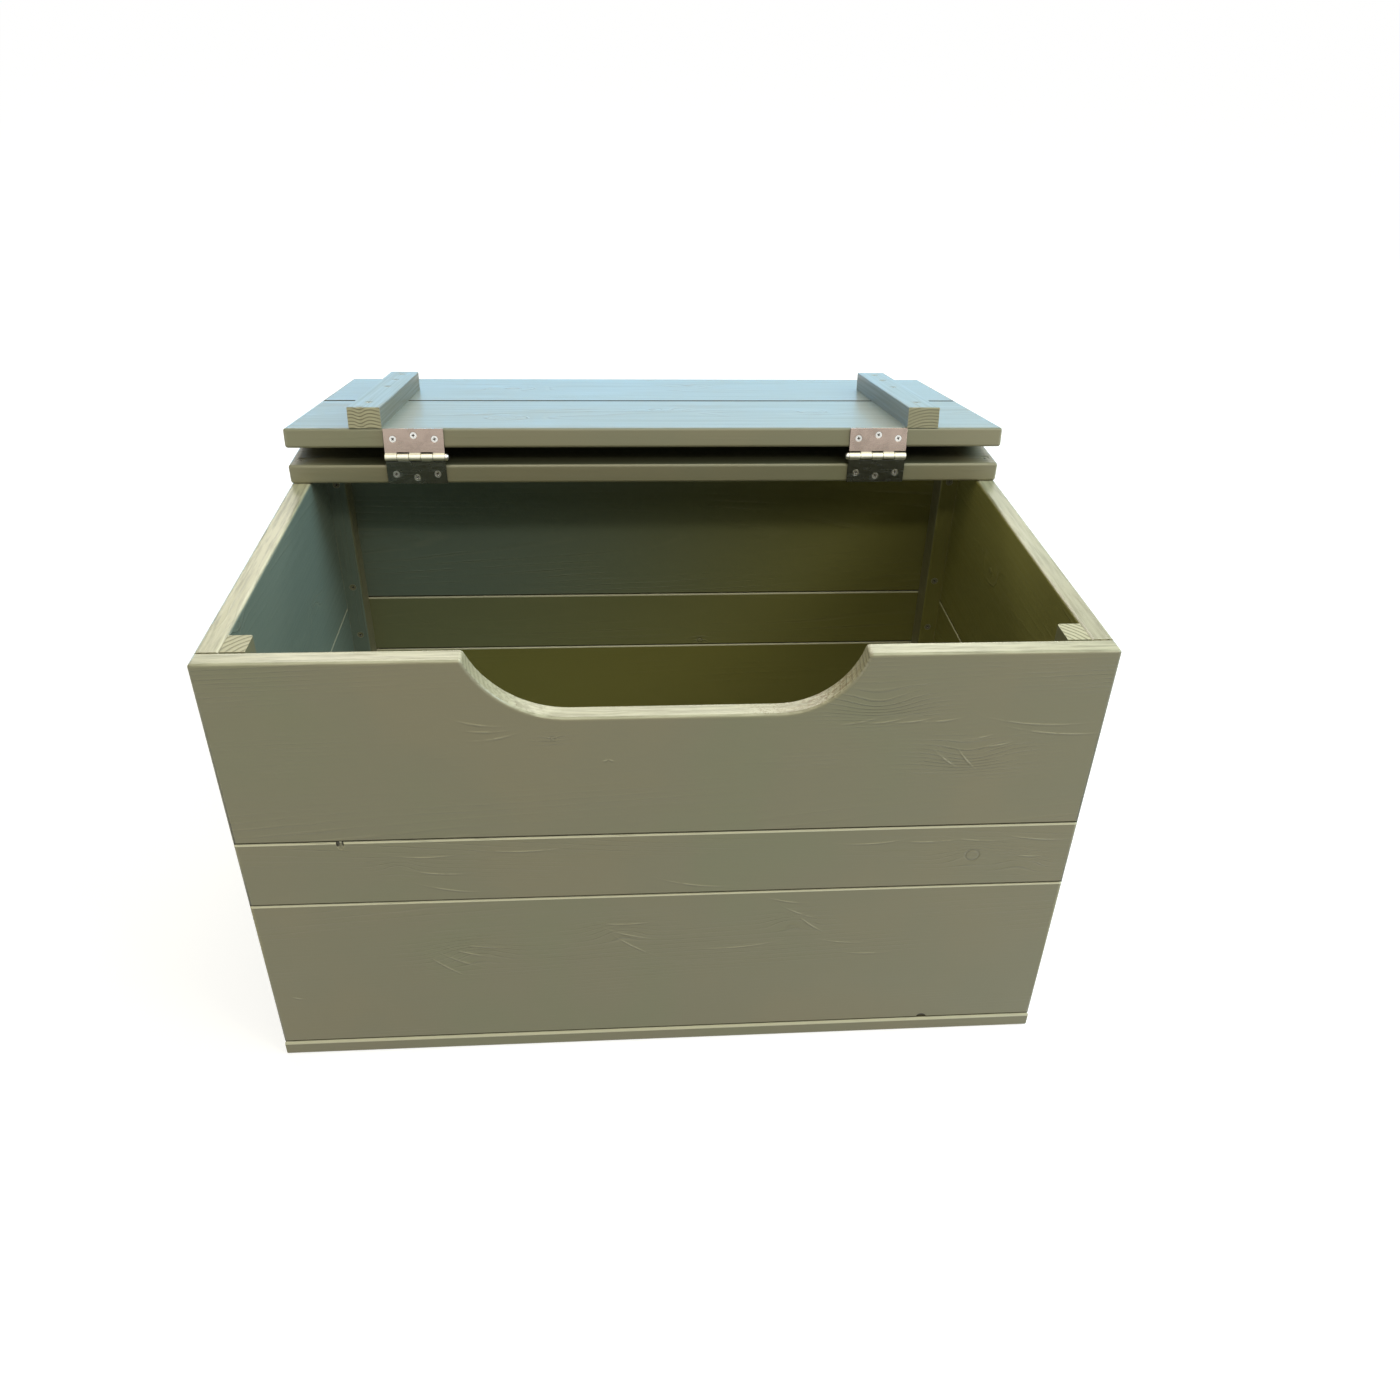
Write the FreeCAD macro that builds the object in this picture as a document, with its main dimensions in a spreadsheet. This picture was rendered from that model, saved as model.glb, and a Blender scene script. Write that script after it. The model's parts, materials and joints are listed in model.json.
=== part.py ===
import FreeCAD, Part
import os
import re
import Sketcher

# A lift-lid storage chest of tongue-and-groove boards: scooped front, corner posts, hinge rail,
# battened lid and two five-knuckle butt hinges. Millimetres, +X right, +Y back, +Z up.
# The origin is the middle of the footprint, on the underside. The lid stands open at rest.

doc = FreeCAD.newDocument("LiftLidChest")

# Driving dimensions: name, value and what it measures.
sizes = [
    ("chestWidth", 750, "width of front, back, floor, rail and lid"),
    ("chestDepth", 490, "depth over the front and back walls"),
    ("floorThickness", 18, "thickness of the floor boards"),
    ("wallThickness", 20, "thickness of the wall boards"),
    ("bottomBoardHeight", 177, "height of the lowest wall board"),
    ("middleBoardHeight", 71, "height of the narrow wall board"),
    ("topBoardHeight", 179, "height of the top wall board"),
    ("floorBoardDepth", 178, "depth of the front and middle floor boards"),
    ("railThickness", 20, "thickness of the fixed rail behind the lid"),
    ("railDepth", 114, "depth of the rail, measured from the back"),
    ("lidThickness", 20, "thickness of the lid boards"),
    ("lidRearBoardDepth", 185, "depth of the lid board that carries the hinges"),
    ("lidSetBack", 0.6, "front edge of the closed lid, behind the front wall's face"),
    ("lidClearance", 0.3, "air under the closed lid"),
    ("lidRestGap", 0.2, "air between the open lid and the rail's rounded rear edge"),
    ("tongueHeight", 6, "height of a board's tongue"),
    ("tongueThickness", 6, "thickness of a board's tongue"),
    ("jointClearance", 0.2, "air between a tongue and each wall of its groove"),
    ("seamEase", 1.2, "bevel on each side of a seam"),
    ("edgeRadius", 3, "round-over of the walls, rail and lid"),
    ("floorEdgeRadius", 3, "round-over of the floor's outer edge"),
    ("scoopMouthWidth", 329, "width of the hand scoop at the wall's top"),
    ("scoopFlatWidth", 173, "straight bottom of the hand scoop"),
    ("scoopFlatShift", 6, "middle of the straight bottom, to the right of the chest's middle"),
    ("scoopDepth", 56, "depth of the hand scoop below the wall's top"),
    ("scoopCornerRadius", 4, "easing where the scoop meets the wall's top"),
    ("postWidth", 20, "corner post, along the chest's width"),
    ("postDepth", 28, "corner post, along the chest's depth"),
    ("postEase", 2.5, "round-over of a post's free corner"),
    ("battenWidth", 33, "width of a lid batten"),
    ("battenThickness", 21, "thickness of a lid batten"),
    ("battenLength", 275, "length of a lid batten"),
    ("battenEase", 1.2, "round-over of a batten's edges"),
    ("leftBattenInset", 83, "middle of the left batten, from the lid's left end"),
    ("rightBattenInset", 87, "middle of the right batten, from the lid's right end"),
    ("leftHingeInset", 131, "middle of the left hinge, from the chest's left end"),
    ("rightHingeInset", 134, "middle of the right hinge, from the chest's right end"),
    ("hingeLength", 61, "length of a hinge along its pin"),
    ("leafHeight", 28.8, "height of a leaf, from the pin's axis to its free edge"),
    ("leafThickness", 1.6, "thickness of a leaf"),
    ("leafFoldGap", 0.2, "air between the two leaves when they are folded"),
    ("knuckleDiameter", 7.2, "outside diameter of the knuckles"),
    ("knuckleGap", 0.3, "air between neighbouring knuckles, and under the pin's head"),
    ("knuckleRelief", 1.4, "air between a knuckle and the other leaf's cut edge"),
    ("pinRise", 9.2, "height of the pin's axis above the rail"),
    ("pinDiameter", 3.6, "diameter of the hinge pin"),
    ("pinClearance", 0.05, "radial running clearance of the pin"),
    ("pinHeadDiameter", 7.2, "diameter of the pin's head"),
    ("pinHeadLength", 3.2, "length of the pin's head"),
    ("pinHeadBevel", 1.2, "bevel round the end of the pin's head"),
    ("leafScrewPitch", 21.2, "spacing of a leaf's screws along the pin"),
    ("leafScrewDrop", 18.2, "outer screws of a leaf, from the pin's axis"),
    ("leafScrewStagger", 3.6, "middle screw, further from the pin than the outer ones"),
    ("hingeScrewHead", 7, "head diameter of a hinge screw"),
    ("hingeScrewShank", 4, "shank diameter of a hinge screw"),
    ("hingeScrewLength", 16, "length of a hinge screw"),
    ("headAngle", 90, "angle of a countersunk head's cone"),
    ("screwSink", 0.1, "depth of a screw's head below the surface"),
    ("screwClearance", 0.05, "air between a screw and its hole, all round and at the tip"),
]
sizeNames = {name for name, value, meaning in sizes}

# Places worked out from the sizes.
wallHeight = "(bottomBoardHeight + middleBoardHeight + topBoardHeight)"
wallTop = f"(floorThickness + {wallHeight})"
firstSeam = "(floorThickness + bottomBoardHeight)"
secondSeam = f"({firstSeam} + middleBoardHeight)"
sideWallLength = "(chestDepth - 2 * wallThickness)"
railFront = "(chestDepth / 2 - railDepth)"
pinOffset = "(leafThickness + leafFoldGap / 2)"
pinBack = f"({railFront} - {pinOffset})"
pinHeight = f"({wallTop} + railThickness + pinRise)"
pinToOuterFace = "(pinRise + railThickness - lidThickness - lidClearance)"
pinToInnerFace = f"({pinToOuterFace} + lidThickness)"
lidDepth = f"(chestDepth - railDepth - 2 * {pinOffset} - lidSetBack)"
knuckleRadius = "(knuckleDiameter / 2)"
leftBatten = "(leftBattenInset - chestWidth / 2)"
rightBatten = "(chestWidth / 2 - rightBattenInset)"
leftHinge = "(leftHingeInset - chestWidth / 2)"
rightHinge = "(chestWidth / 2 - rightHingeInset)"

# The open lid leans back past level until its outer face meets the round of the rail's rear edge,
# whose centre lies roundReach behind the pin and roundSink below it.
roundReach = f"(railDepth + {pinOffset} - edgeRadius)"
roundSink = "(pinRise + edgeRadius)"
roundDistance = f"sqrt({roundReach} ^ 2 + {roundSink} ^ 2)"
faceToRound = f"({pinToOuterFace} - edgeRadius - lidRestGap)"
lidLean = f"(atan({roundSink} / {roundReach}) + asin({faceToRound} / {roundDistance}))"

# How much a countersink widens or narrows on each side for every millimetre of depth.
headSlope = "tan(headAngle / 2)"

# How far a cutting outline runs past the wood, and how near two sizes count as equal.
overrun = 1
nearness = 0.001

# The limits of a shape's box that each side stands for.
sideLimits = {
    "left": ("XMin", "XMax"),
    "right": ("XMax", "XMin"),
    "outer": ("YMin", "YMax"),
    "inner": ("YMax", "YMin"),
    "bottom": ("ZMin", "ZMax"),
    "top": ("ZMax", "ZMin"),
}


def addSheet():
    sheet = doc.addObject("Spreadsheet::Sheet", "Size")
    for row, (name, value, meaning) in enumerate(sizes, start=1):
        sheet.set(f"A{row}", meaning)
        sheet.set(f"B{row}", str(value))
        sheet.setAlias(f"B{row}", name)
    doc.recompute()


def sized(text):
    # Points each size name in an expression at its cell of the sheet.
    def cell(word):
        return f"Size.{word[0]}" if word[0] in sizeNames else word[0]
    return re.sub(r"[A-Za-z]+", cell, text)


def place(across, back, up, axis="0; 0; 1", angle="0"):
    return f"placement(vector({across}; {back}; {up}); rotation(vector({axis}); {angle}))"


pinPlace = place("0", pinBack, pinHeight)
lidPlace = place("0", pinBack, pinHeight, "1; 0; 0", f"-1 * {lidLean}")


# Sketches

def addBody(label, placement):
    body = doc.addObject("PartDesign::Body", label)
    body.Label = label
    body.setExpression("Placement", sized(placement))
    return body


def addSketch(body, label, role, offset="0"):
    # A sketch on one of the body's own origin planes, or on one parallel to it.
    sketch = body.newObject("Sketcher::SketchObject", label)
    plane = [feature for feature in body.Origin.OriginFeatures if feature.Role == role][0]
    sketch.AttachmentSupport = (plane, "")
    sketch.MapMode = "FlatFace"
    sketch.setExpression("AttachmentOffset.Base.z", sized(offset))
    return sketch


def worth(sketch, text):
    return float(sketch.evalExpression(sized(text)))


def sketchPoint(sketch, corner):
    return FreeCAD.Vector(worth(sketch, corner[0]), worth(sketch, corner[1]), 0)


def bindConstraint(sketch, text, kind, *geometry):
    # A constraint whose value follows an expression.
    index = sketch.addConstraint(Sketcher.Constraint(kind, *geometry, worth(sketch, text)))
    sketch.setExpression(f"Constraints[{index}]", sized(text))


def bindPoint(sketch, geometry, end, corner):
    bindConstraint(sketch, corner[0], "DistanceX", -1, 1, geometry, end)
    bindConstraint(sketch, corner[1], "DistanceY", -1, 1, geometry, end)


def circleAt(sketch, centre, radius):
    return Part.Circle(sketchPoint(sketch, centre), FreeCAD.Vector(0, 0, 1), worth(sketch, radius))


def drawCircle(sketch, centre, radius):
    circle = sketch.addGeometry(circleAt(sketch, centre, radius))
    bindPoint(sketch, circle, 3, centre)
    bindConstraint(sketch, radius, "Radius", circle)


def drawOutline(sketch, corners, arcs=None):
    # A closed outline through the corners. arcs holds (radius, centre, clockwise) for each curved
    # side, under the number of the corner that it leaves. A drawn arc always turns anticlockwise,
    # so a clockwise side is entered at the arc's end point.
    arcs = arcs or {}
    points = [sketchPoint(sketch, corner) for corner in corners]
    sides = []
    for index, start in enumerate(points):
        end = points[(index + 1) % len(points)]
        clockwise = False
        curve = Part.LineSegment(start, end)
        if index in arcs:
            radius, centre, clockwise = arcs[index]
            circle = circleAt(sketch, centre, radius)
            first, last = (end, start) if clockwise else (start, end)
            curve = Part.ArcOfCircle(circle, circle.parameter(first), circle.parameter(last))
        geometry = sketch.addGeometry(curve)
        sides.append((geometry, 2, 1) if clockwise else (geometry, 1, 2))
    for index, (side, entry, leaving) in enumerate(sides):
        following, nextEntry, nextLeaving = sides[(index + 1) % len(sides)]
        sketch.addConstraint(Sketcher.Constraint("Coincident", side, leaving, following, nextEntry))
        bindPoint(sketch, side, entry, corners[index])
        if index in arcs:
            bindConstraint(sketch, arcs[index][0], "Radius", side)


def rectangle(left, right, low, high):
    return [(left, low), (right, low), (right, high), (left, high)]


# Features

def addPad(body, sketch, length, backward=False, symmetric=False, taper="0"):
    pad = body.newObject("PartDesign::Pad", "pad")
    pad.Profile = sketch
    pad.setExpression("Length", sized(length))
    pad.setExpression("TaperAngle", sized(taper))
    pad.Reversed = backward
    if symmetric:
        pad.SideType = "Symmetric"
    doc.recompute()


def checkCut(feature, before):
    # A cut that points away from the solid leaves its volume as it was.
    doc.recompute()
    if feature.Shape.Volume > before - nearness:
        raise RuntimeError(f"{feature.Label} removed nothing")


def cutThrough(body, sketch):
    before = body.Shape.Volume
    pocket = body.newObject("PartDesign::Pocket", "pocket")
    pocket.Profile = sketch
    pocket.Type = "ThroughAll"
    pocket.SideType = "Symmetric"
    checkCut(pocket, before)


def drillScrewHoles(body, centres, role, offset, pilot=False, backward=False):
    # Holes for the hinge screws: countersunk right through a leaf, or blind pilots in the wood.
    sketch = addSketch(body, "drillings", role, offset)
    for centre in centres:
        drawCircle(sketch, centre, "hingeScrewShank / 2 + screwClearance")
    doc.recompute()
    before = body.Shape.Volume
    hole = body.newObject("PartDesign::Hole", "screwHoles")
    hole.Profile = sketch
    hole.Reversed = backward
    hole.setExpression("Diameter", sized("hingeScrewShank + 2 * screwClearance"))
    hole.DrillPoint = "Flat"
    if pilot:
        hole.DepthType = "Dimension"
        hole.setExpression("Depth", sized("hingeScrewLength - leafThickness + screwClearance"))
    else:
        hole.DepthType = "ThroughAll"
        hole.HoleCutType = "Countersink"
        hole.HoleCutCustomValues = True
        hole.setExpression("HoleCutCountersinkAngle", sized("headAngle"))
        mouth = f"hingeScrewHead + 2 * screwClearance + 2 * screwSink * {headSlope}"
        hole.setExpression("HoleCutDiameter", sized(mouth))
    checkCut(hole, before)


def isOn(edge, box, side):
    limit, nearLimit = sideLimits[side]
    return abs(getattr(edge.BoundBox, nearLimit) - getattr(box, limit)) < nearness


def edgesWhere(shape, test):
    # Names the edges of a feature's shape, in its body's own frame, that pass the test.
    return [f"Edge{number}" for number, edge in enumerate(shape.Edges, start=1) if test(edge)]


def meetingEdges(shape, pairs):
    # The edges where two sides of a block meet, such as ("left", "outer").
    box = shape.BoundBox

    def meets(edge):
        return any(isOn(edge, box, one) and isOn(edge, box, other) for one, other in pairs)
    return edgesWhere(shape, meets)


def roundEdges(body, edges, radius):
    base = body.Tip
    fillet = body.newObject("PartDesign::Fillet", "fillet")
    fillet.Base = (base, edges)
    fillet.setExpression("Radius", sized(radius))
    doc.recompute()


# Boards

def jointOutlines(height, thickness, tongue, groove, foot):
    # What is cut away to leave a tongue on top, a groove below and the bevels beside the seams.
    # A foot is a plain lower edge with the same bevels.
    middle = f"({thickness} / 2)"
    outlines = []
    for mirrored in (False, True):
        def across(text):
            return f"{thickness} - ({text})" if mirrored else text
        if tongue:
            shoulder = [
                (f"-{overrun}", f"{height} - seamEase - {overrun}"),
                ("seamEase", height),
                (f"{middle} - tongueThickness / 2", height),
                (f"{middle} - tongueThickness / 2", f"{height} + tongueHeight + {overrun}"),
                (f"-{overrun}", f"{height} + tongueHeight + {overrun}"),
            ]
            outlines.append([(across(depth), up) for depth, up in shoulder])
        if groove or foot:
            bevel = [
                (f"-{overrun}", f"-{overrun}"),
                (f"seamEase + {overrun}", f"-{overrun}"),
                (f"-{overrun}", f"seamEase + {overrun}"),
            ]
            outlines.append([(across(depth), up) for depth, up in bevel])
    if groove:
        half = "(tongueThickness / 2 + jointClearance)"
        slotTop = "tongueHeight + jointClearance"
        outlines.append(rectangle(f"{middle} - {half}", f"{middle} + {half}", f"-{overrun}", slotTop))
    return outlines


def cutJoints(body, height, thickness, tongue=False, groove=False, foot=False):
    joints = addSketch(body, "joints", "YZ_Plane")
    for outline in jointOutlines(height, thickness, tongue, groove, foot):
        drawOutline(joints, outline)
    cutThrough(body, joints)


def addBoard(label, placement, length, height, thickness, rounded, radius, **joints):
    # A board lies along X, stands on its lower edge and has its outer face at Y = 0.
    body = addBody(label, placement)
    face = addSketch(body, "face", "XZ_Plane")
    top = f"{height} + tongueHeight" if "tongue" in joints else height
    drawOutline(face, rectangle(f"-{length} / 2", f"{length} / 2", "0", top))
    addPad(body, face, thickness, backward=True)
    if rounded:
        roundEdges(body, meetingEdges(body.Tip.Shape, rounded), radius)
    cutJoints(body, height, thickness, **joints)
    return body


def addScoopedBoard(label, placement):
    # The top front board dips in a flat-bottomed scoop. Its two ends are arcs that leave the flat
    # smoothly and reach the wall's top at the scoop's mouth.
    body = addBody(label, placement)
    half = "chestWidth / 2"
    mouth = "scoopMouthWidth / 2"
    leftFlat = "(scoopFlatWidth / 2 - scoopFlatShift)"
    rightFlat = "(scoopFlatWidth / 2 + scoopFlatShift)"
    leftRadius = f"((({mouth} - {leftFlat}) ^ 2 + scoopDepth ^ 2) / (2 * scoopDepth))"
    rightRadius = f"((({mouth} - {rightFlat}) ^ 2 + scoopDepth ^ 2) / (2 * scoopDepth))"
    top = "topBoardHeight"
    low = f"({top} - scoopDepth)"
    corners = [
        (f"-{half}", "0"), (half, "0"), (half, top), (mouth, top),
        (rightFlat, low), (f"-1 * {leftFlat}", low), (f"-{mouth}", top), (f"-{half}", top),
    ]
    arcs = {
        3: (rightRadius, (rightFlat, f"{low} + {rightRadius}"), True),
        5: (leftRadius, (f"-1 * {leftFlat}", f"{low} + {leftRadius}"), True),
    }
    face = addSketch(body, "face", "XZ_Plane")
    drawOutline(face, corners, arcs)
    addPad(body, face, "wallThickness", backward=True)
    roundEdges(body, scoopCorners(body.Tip.Shape), "scoopCornerRadius")
    roundEdges(body, scoopedEdges(body.Tip.Shape), "edgeRadius")
    cutJoints(body, top, "wallThickness", groove=True)
    return body


def scoopCorners(shape):
    # The two short edges through the board where the scoop meets its top.
    box = shape.BoundBox

    def isCorner(edge):
        runsThrough = edge.BoundBox.YLength > box.YLength - nearness
        atEnd = isOn(edge, box, "left") or isOn(edge, box, "right")
        return runsThrough and isOn(edge, box, "top") and not atEnd
    return edgesWhere(shape, isCorner)


def scoopedEdges(shape):
    # The whole upper outline on both faces, and the outer corners of the two ends.
    box = shape.BoundBox

    def isOutline(edge):
        onFace = isOn(edge, box, "outer") or isOn(edge, box, "inner")
        atSide = isOn(edge, box, "left") or isOn(edge, box, "right") or isOn(edge, box, "bottom")
        return onFace and not atSide
    ends = meetingEdges(shape, [("left", "top"), ("right", "top"), ("left", "outer"), ("right", "outer")])
    return edgesWhere(shape, isOutline) + ends


# Walls and floor

def wallLevels():
    # Name, lower edge, height and worked edges of the three boards that make each wall.
    return [("bottom", "floorThickness", "bottomBoardHeight", {"foot": True, "tongue": True}),
            ("middle", firstSeam, "middleBoardHeight", {"groove": True, "tongue": True}),
            ("top", secondSeam, "topBoardHeight", {"groove": True})]


def addFrontAndBack():
    outerEnds = [("left", "outer"), ("right", "outer")]
    for level, up, height, joints in wallLevels():
        backPlace = place("0", "chestDepth / 2", up, angle="180")
        addBoard(f"back_{level}_board", backPlace, "chestWidth", height, "wallThickness",
                 outerEnds, "edgeRadius", **joints)
        frontPlace = place("0", "-chestDepth / 2", up)
        if level == "top":
            addScoopedBoard("front_top_board", frontPlace)
        else:
            addBoard(f"front_{level}_board", frontPlace, "chestWidth", height, "wallThickness",
                     outerEnds, "edgeRadius", **joints)


def addSides():
    # Each side wall stands between the front and the back wall.
    for name, across, turn in (("left", "-chestWidth / 2", "-90"), ("right", "chestWidth / 2", "90")):
        for level, up, height, joints in wallLevels():
            rounded = [("outer", "top"), ("inner", "top")] if level == "top" else []
            addBoard(f"{name}_{level}_board", place(across, "0", up, angle=turn), sideWallLength, height,
                     "wallThickness", rounded, "edgeRadius", **joints)


def addFloor():
    ends = [("left", "outer"), ("left", "inner"), ("right", "outer"), ("right", "inner")]
    frontEdges = [("bottom", "outer"), ("bottom", "inner")]
    backEdges = [("top", "outer"), ("top", "inner")]

    def floorPlace(back):
        return place("0", back, "floorThickness", "1; 0; 0", "-90")
    addBoard("floor_front_board", floorPlace("-chestDepth / 2"), "chestWidth", "floorBoardDepth",
             "floorThickness", ends + frontEdges, "floorEdgeRadius", tongue=True)
    addBoard("floor_middle_board", floorPlace("-chestDepth / 2 + floorBoardDepth"), "chestWidth",
             "floorBoardDepth", "floorThickness", ends, "floorEdgeRadius", tongue=True, groove=True)
    addBoard("floor_back_board", floorPlace("-chestDepth / 2 + 2 * floorBoardDepth"), "chestWidth",
             "(chestDepth - 2 * floorBoardDepth)", "floorThickness", ends + backEdges,
             "floorEdgeRadius", groove=True)


# Posts

def addPost(label, side, end):
    # side is -1 at the left and 1 at the right; end is -1 at the front and 1 at the back.
    # The origin is the corner of the two walls, at the foot.
    body = addBody(label, place(f"{side} * (chestWidth / 2 - wallThickness)",
                                f"{end} * (chestDepth / 2 - wallThickness)", "floorThickness"))
    section = addSketch(body, "section", "XY_Plane")
    drawOutline(section, rectangle("0", f"{-side} * postWidth", "0", f"{-end} * postDepth"))
    addPad(body, section, wallHeight)
    freeCorner = ("right" if side < 0 else "left", "inner" if end < 0 else "outer")
    roundEdges(body, meetingEdges(body.Tip.Shape, [freeCorner]), "postEase")


def addPosts():
    for name, side in (("left", -1), ("right", 1)):
        for row, end in (("front", -1), ("rear", 1)):
            addPost(f"{row}_{name}_post", side, end)


# Rail

def addRail():
    # The rail's own Y starts at its front edge.
    body = addBody("hinge_rail", place("0", railFront, wallTop))
    plan = addSketch(body, "plan", "XY_Plane")
    drawOutline(plan, rectangle("-chestWidth / 2", "chestWidth / 2", "0", "railDepth"))
    addPad(body, plan, "railThickness")
    roundEdges(body, edgesWhere(body.Tip.Shape, lambda edge: True), "edgeRadius")
    centres = [(across, f"railThickness + pinRise - ({drop})") for across, drop in leafScrewCentres()]
    drillScrewHoles(body, centres, "XZ_Plane", "0", pilot=True)


# Lid

def addLidBoards():
    ends = [("left", "outer"), ("left", "inner"), ("right", "outer"), ("right", "inner")]
    hingeEdges = [("bottom", "outer"), ("bottom", "inner"), ("left", "bottom"), ("right", "bottom")]
    frontEdges = [("top", "outer"), ("top", "inner"), ("left", "top"), ("right", "top")]

    def lidBoardPlace(fromHinge):
        laid = place("0", f"{pinOffset} + {fromHinge}", pinToInnerFace, "1; 0; 0", "-90")
        return f"{lidPlace} * {laid}"
    rear = addBoard("lid_rear_board", lidBoardPlace("0"), "chestWidth", "lidRearBoardDepth",
                    "lidThickness", ends + hingeEdges, "edgeRadius", tongue=True)
    addBoard("lid_front_board", lidBoardPlace("lidRearBoardDepth"), "chestWidth",
             f"({lidDepth} - lidRearBoardDepth)", "lidThickness", ends + frontEdges, "edgeRadius",
             groove=True)
    centres = [(across, f"{pinToInnerFace} - ({drop})") for across, drop in leafScrewCentres()]
    drillScrewHoles(rear, centres, "XY_Plane", "0", pilot=True, backward=True)


def addBattens():
    for name, across in (("left", leftBatten), ("right", rightBatten)):
        body = addBody(f"lid_{name}_batten", f"{lidPlace} * {place(across, pinOffset, pinToInnerFace)}")
        plan = addSketch(body, "plan", "XY_Plane")
        drawOutline(plan, rectangle("-battenWidth / 2", "battenWidth / 2", "0", "battenLength"))
        addPad(body, plan, "battenThickness")
        exposed = [("left", "top"), ("right", "top"), ("outer", "top"), ("inner", "top")]
        roundEdges(body, meetingEdges(body.Tip.Shape, exposed), "battenEase")


# Hinges

knuckleCount = 5


def leafScrewCentres():
    # Across the chest and away from the pin, for the three staggered screws of each hinge.
    middles = (leftHinge, rightHinge)
    steps = [("-leafScrewPitch", "leafScrewDrop"), ("0", "leafScrewDrop + leafScrewStagger"),
             ("leafScrewPitch", "leafScrewDrop")]
    return [(f"{middle} + ({step})", drop) for middle in middles for step, drop in steps]


def addLeaf(label, placement, knuckles):
    # The pin's axis is the leaf's own X. The plate hangs behind it and faces the front; its upper
    # edge is rolled round the pin and cut away where the other leaf's knuckles run.
    body = addBody(label, placement)
    near = "leafFoldGap / 2"
    far = pinOffset
    corners = [
        (near, "-leafHeight"), (far, "-leafHeight"),
        (far, f"-sqrt({knuckleRadius} ^ 2 - {far} ^ 2)"),
        (near, f"-sqrt({knuckleRadius} ^ 2 - ({near}) ^ 2)"),
    ]
    section = addSketch(body, "section", "YZ_Plane")
    drawOutline(section, corners, {2: (knuckleRadius, ("0", "0"), False)})
    drawCircle(section, ("0", "0"), "pinDiameter / 2 + pinClearance")
    addPad(body, section, "hingeLength", symmetric=True)
    gaps = addSketch(body, "knuckleGaps", "XZ_Plane")
    low = f"-{knuckleRadius} - knuckleRelief"
    high = f"{knuckleRadius} + {overrun}"
    for cell in range(knuckleCount):
        if cell not in knuckles:
            left = f"hingeLength * ({cell} / {knuckleCount} - 0.5)"
            right = f"hingeLength * ({cell + 1} / {knuckleCount} - 0.5)"
            leftMargin = f"{overrun}" if cell == 0 else "knuckleGap / 2"
            rightMargin = f"{overrun}" if cell == knuckleCount - 1 else "knuckleGap / 2"
            drawOutline(gaps, rectangle(f"{left} - {leftMargin}", f"{right} + {rightMargin}", low, high))
    cutThrough(body, gaps)
    centres = [("-leafScrewPitch", "-leafScrewDrop"), ("0", "-leafScrewDrop - leafScrewStagger"),
               ("leafScrewPitch", "-leafScrewDrop")]
    drillScrewHoles(body, centres, "XZ_Plane", "-leafFoldGap / 2")


def addPin(label, placement):
    # A headed pin along its own X, turned from one half profile. The head is at the right.
    body = addBody(label, placement)
    end = "hingeLength / 2"
    headStart = f"{end} + knuckleGap"
    headEnd = f"{headStart} + pinHeadLength"
    profile = addSketch(body, "profile", "XZ_Plane")
    drawOutline(profile, [
        (f"-{end}", "0"), (headEnd, "0"), (headEnd, "pinHeadDiameter / 2 - pinHeadBevel"),
        (f"{headEnd} - pinHeadBevel", "pinHeadDiameter / 2"), (headStart, "pinHeadDiameter / 2"),
        (headStart, "pinDiameter / 2"), (f"-{end}", "pinDiameter / 2"),
    ])
    turned = body.newObject("PartDesign::Revolution", "turned")
    turned.Profile = profile
    turned.ReferenceAxis = (profile, ["H_Axis"])
    turned.Angle = 360
    doc.recompute()


def addHinges():
    # The right hinge is the left one turned end for end, so its leaves swap knuckles and its pin
    # is headed towards the middle of the chest.
    threeKnuckles = (0, 2, 4)
    twoKnuckles = (1, 3)
    hinges = [("left", leftHinge, twoKnuckles, threeKnuckles, "0"),
              ("right", rightHinge, threeKnuckles, twoKnuckles, "180")]
    for name, across, railKnuckles, lidKnuckles, turn in hinges:
        addLeaf(f"{name}_rail_leaf", f"{pinPlace} * {place(across, '0', '0')}", railKnuckles)
        addLeaf(f"{name}_lid_leaf", f"{lidPlace} * {place(across, '0', '0', '0; 1; 0', '180')}", lidKnuckles)
        addPin(f"{name}_hinge_pin", f"{pinPlace} * {place(across, '0', '0', angle=turn)}")


# Screws

def addLeafScrews(label, placement, centres):
    # Countersunk screws that point along their own +Y, as separate solids of one piece.
    body = addBody(label, f"{placement} * {place('0', 'leafFoldGap / 2', '0')}")
    heads = addSketch(body, "heads", "XZ_Plane", "-screwSink")
    shanks = addSketch(body, "shanks", "XZ_Plane", "-screwSink")
    for centre in centres:
        drawCircle(heads, centre, "hingeScrewHead / 2")
        drawCircle(shanks, centre, "hingeScrewShank / 2")
    coneDepth = f"(hingeScrewHead - hingeScrewShank) / 2 / {headSlope}"
    addPad(body, heads, coneDepth, backward=True, taper="-headAngle / 2")
    addPad(body, shanks, "hingeScrewLength - screwSink", backward=True)


def addHingeScrews():
    below = [(across, f"-({drop})") for across, drop in leafScrewCentres()]
    addLeafScrews("rail_leaf_screws", pinPlace, below)
    addLeafScrews("lid_leaf_screws", lidPlace, leafScrewCentres())


def checkDocument(bodies):
    for thing in doc.Objects:
        if "Invalid" in thing.State or "Error" in thing.State:
            raise RuntimeError(f"{thing.Label} failed: {thing.State}")
    for body in bodies:
        if body.Shape.isNull() or not body.Shape.isValid():
            raise RuntimeError(f"{body.Label} has no valid shape")


def writeParts(bodies):
    os.makedirs("parts", exist_ok=True)
    for body in bodies:
        body.Shape.exportStep(f"parts/{body.Label}.step")


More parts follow.
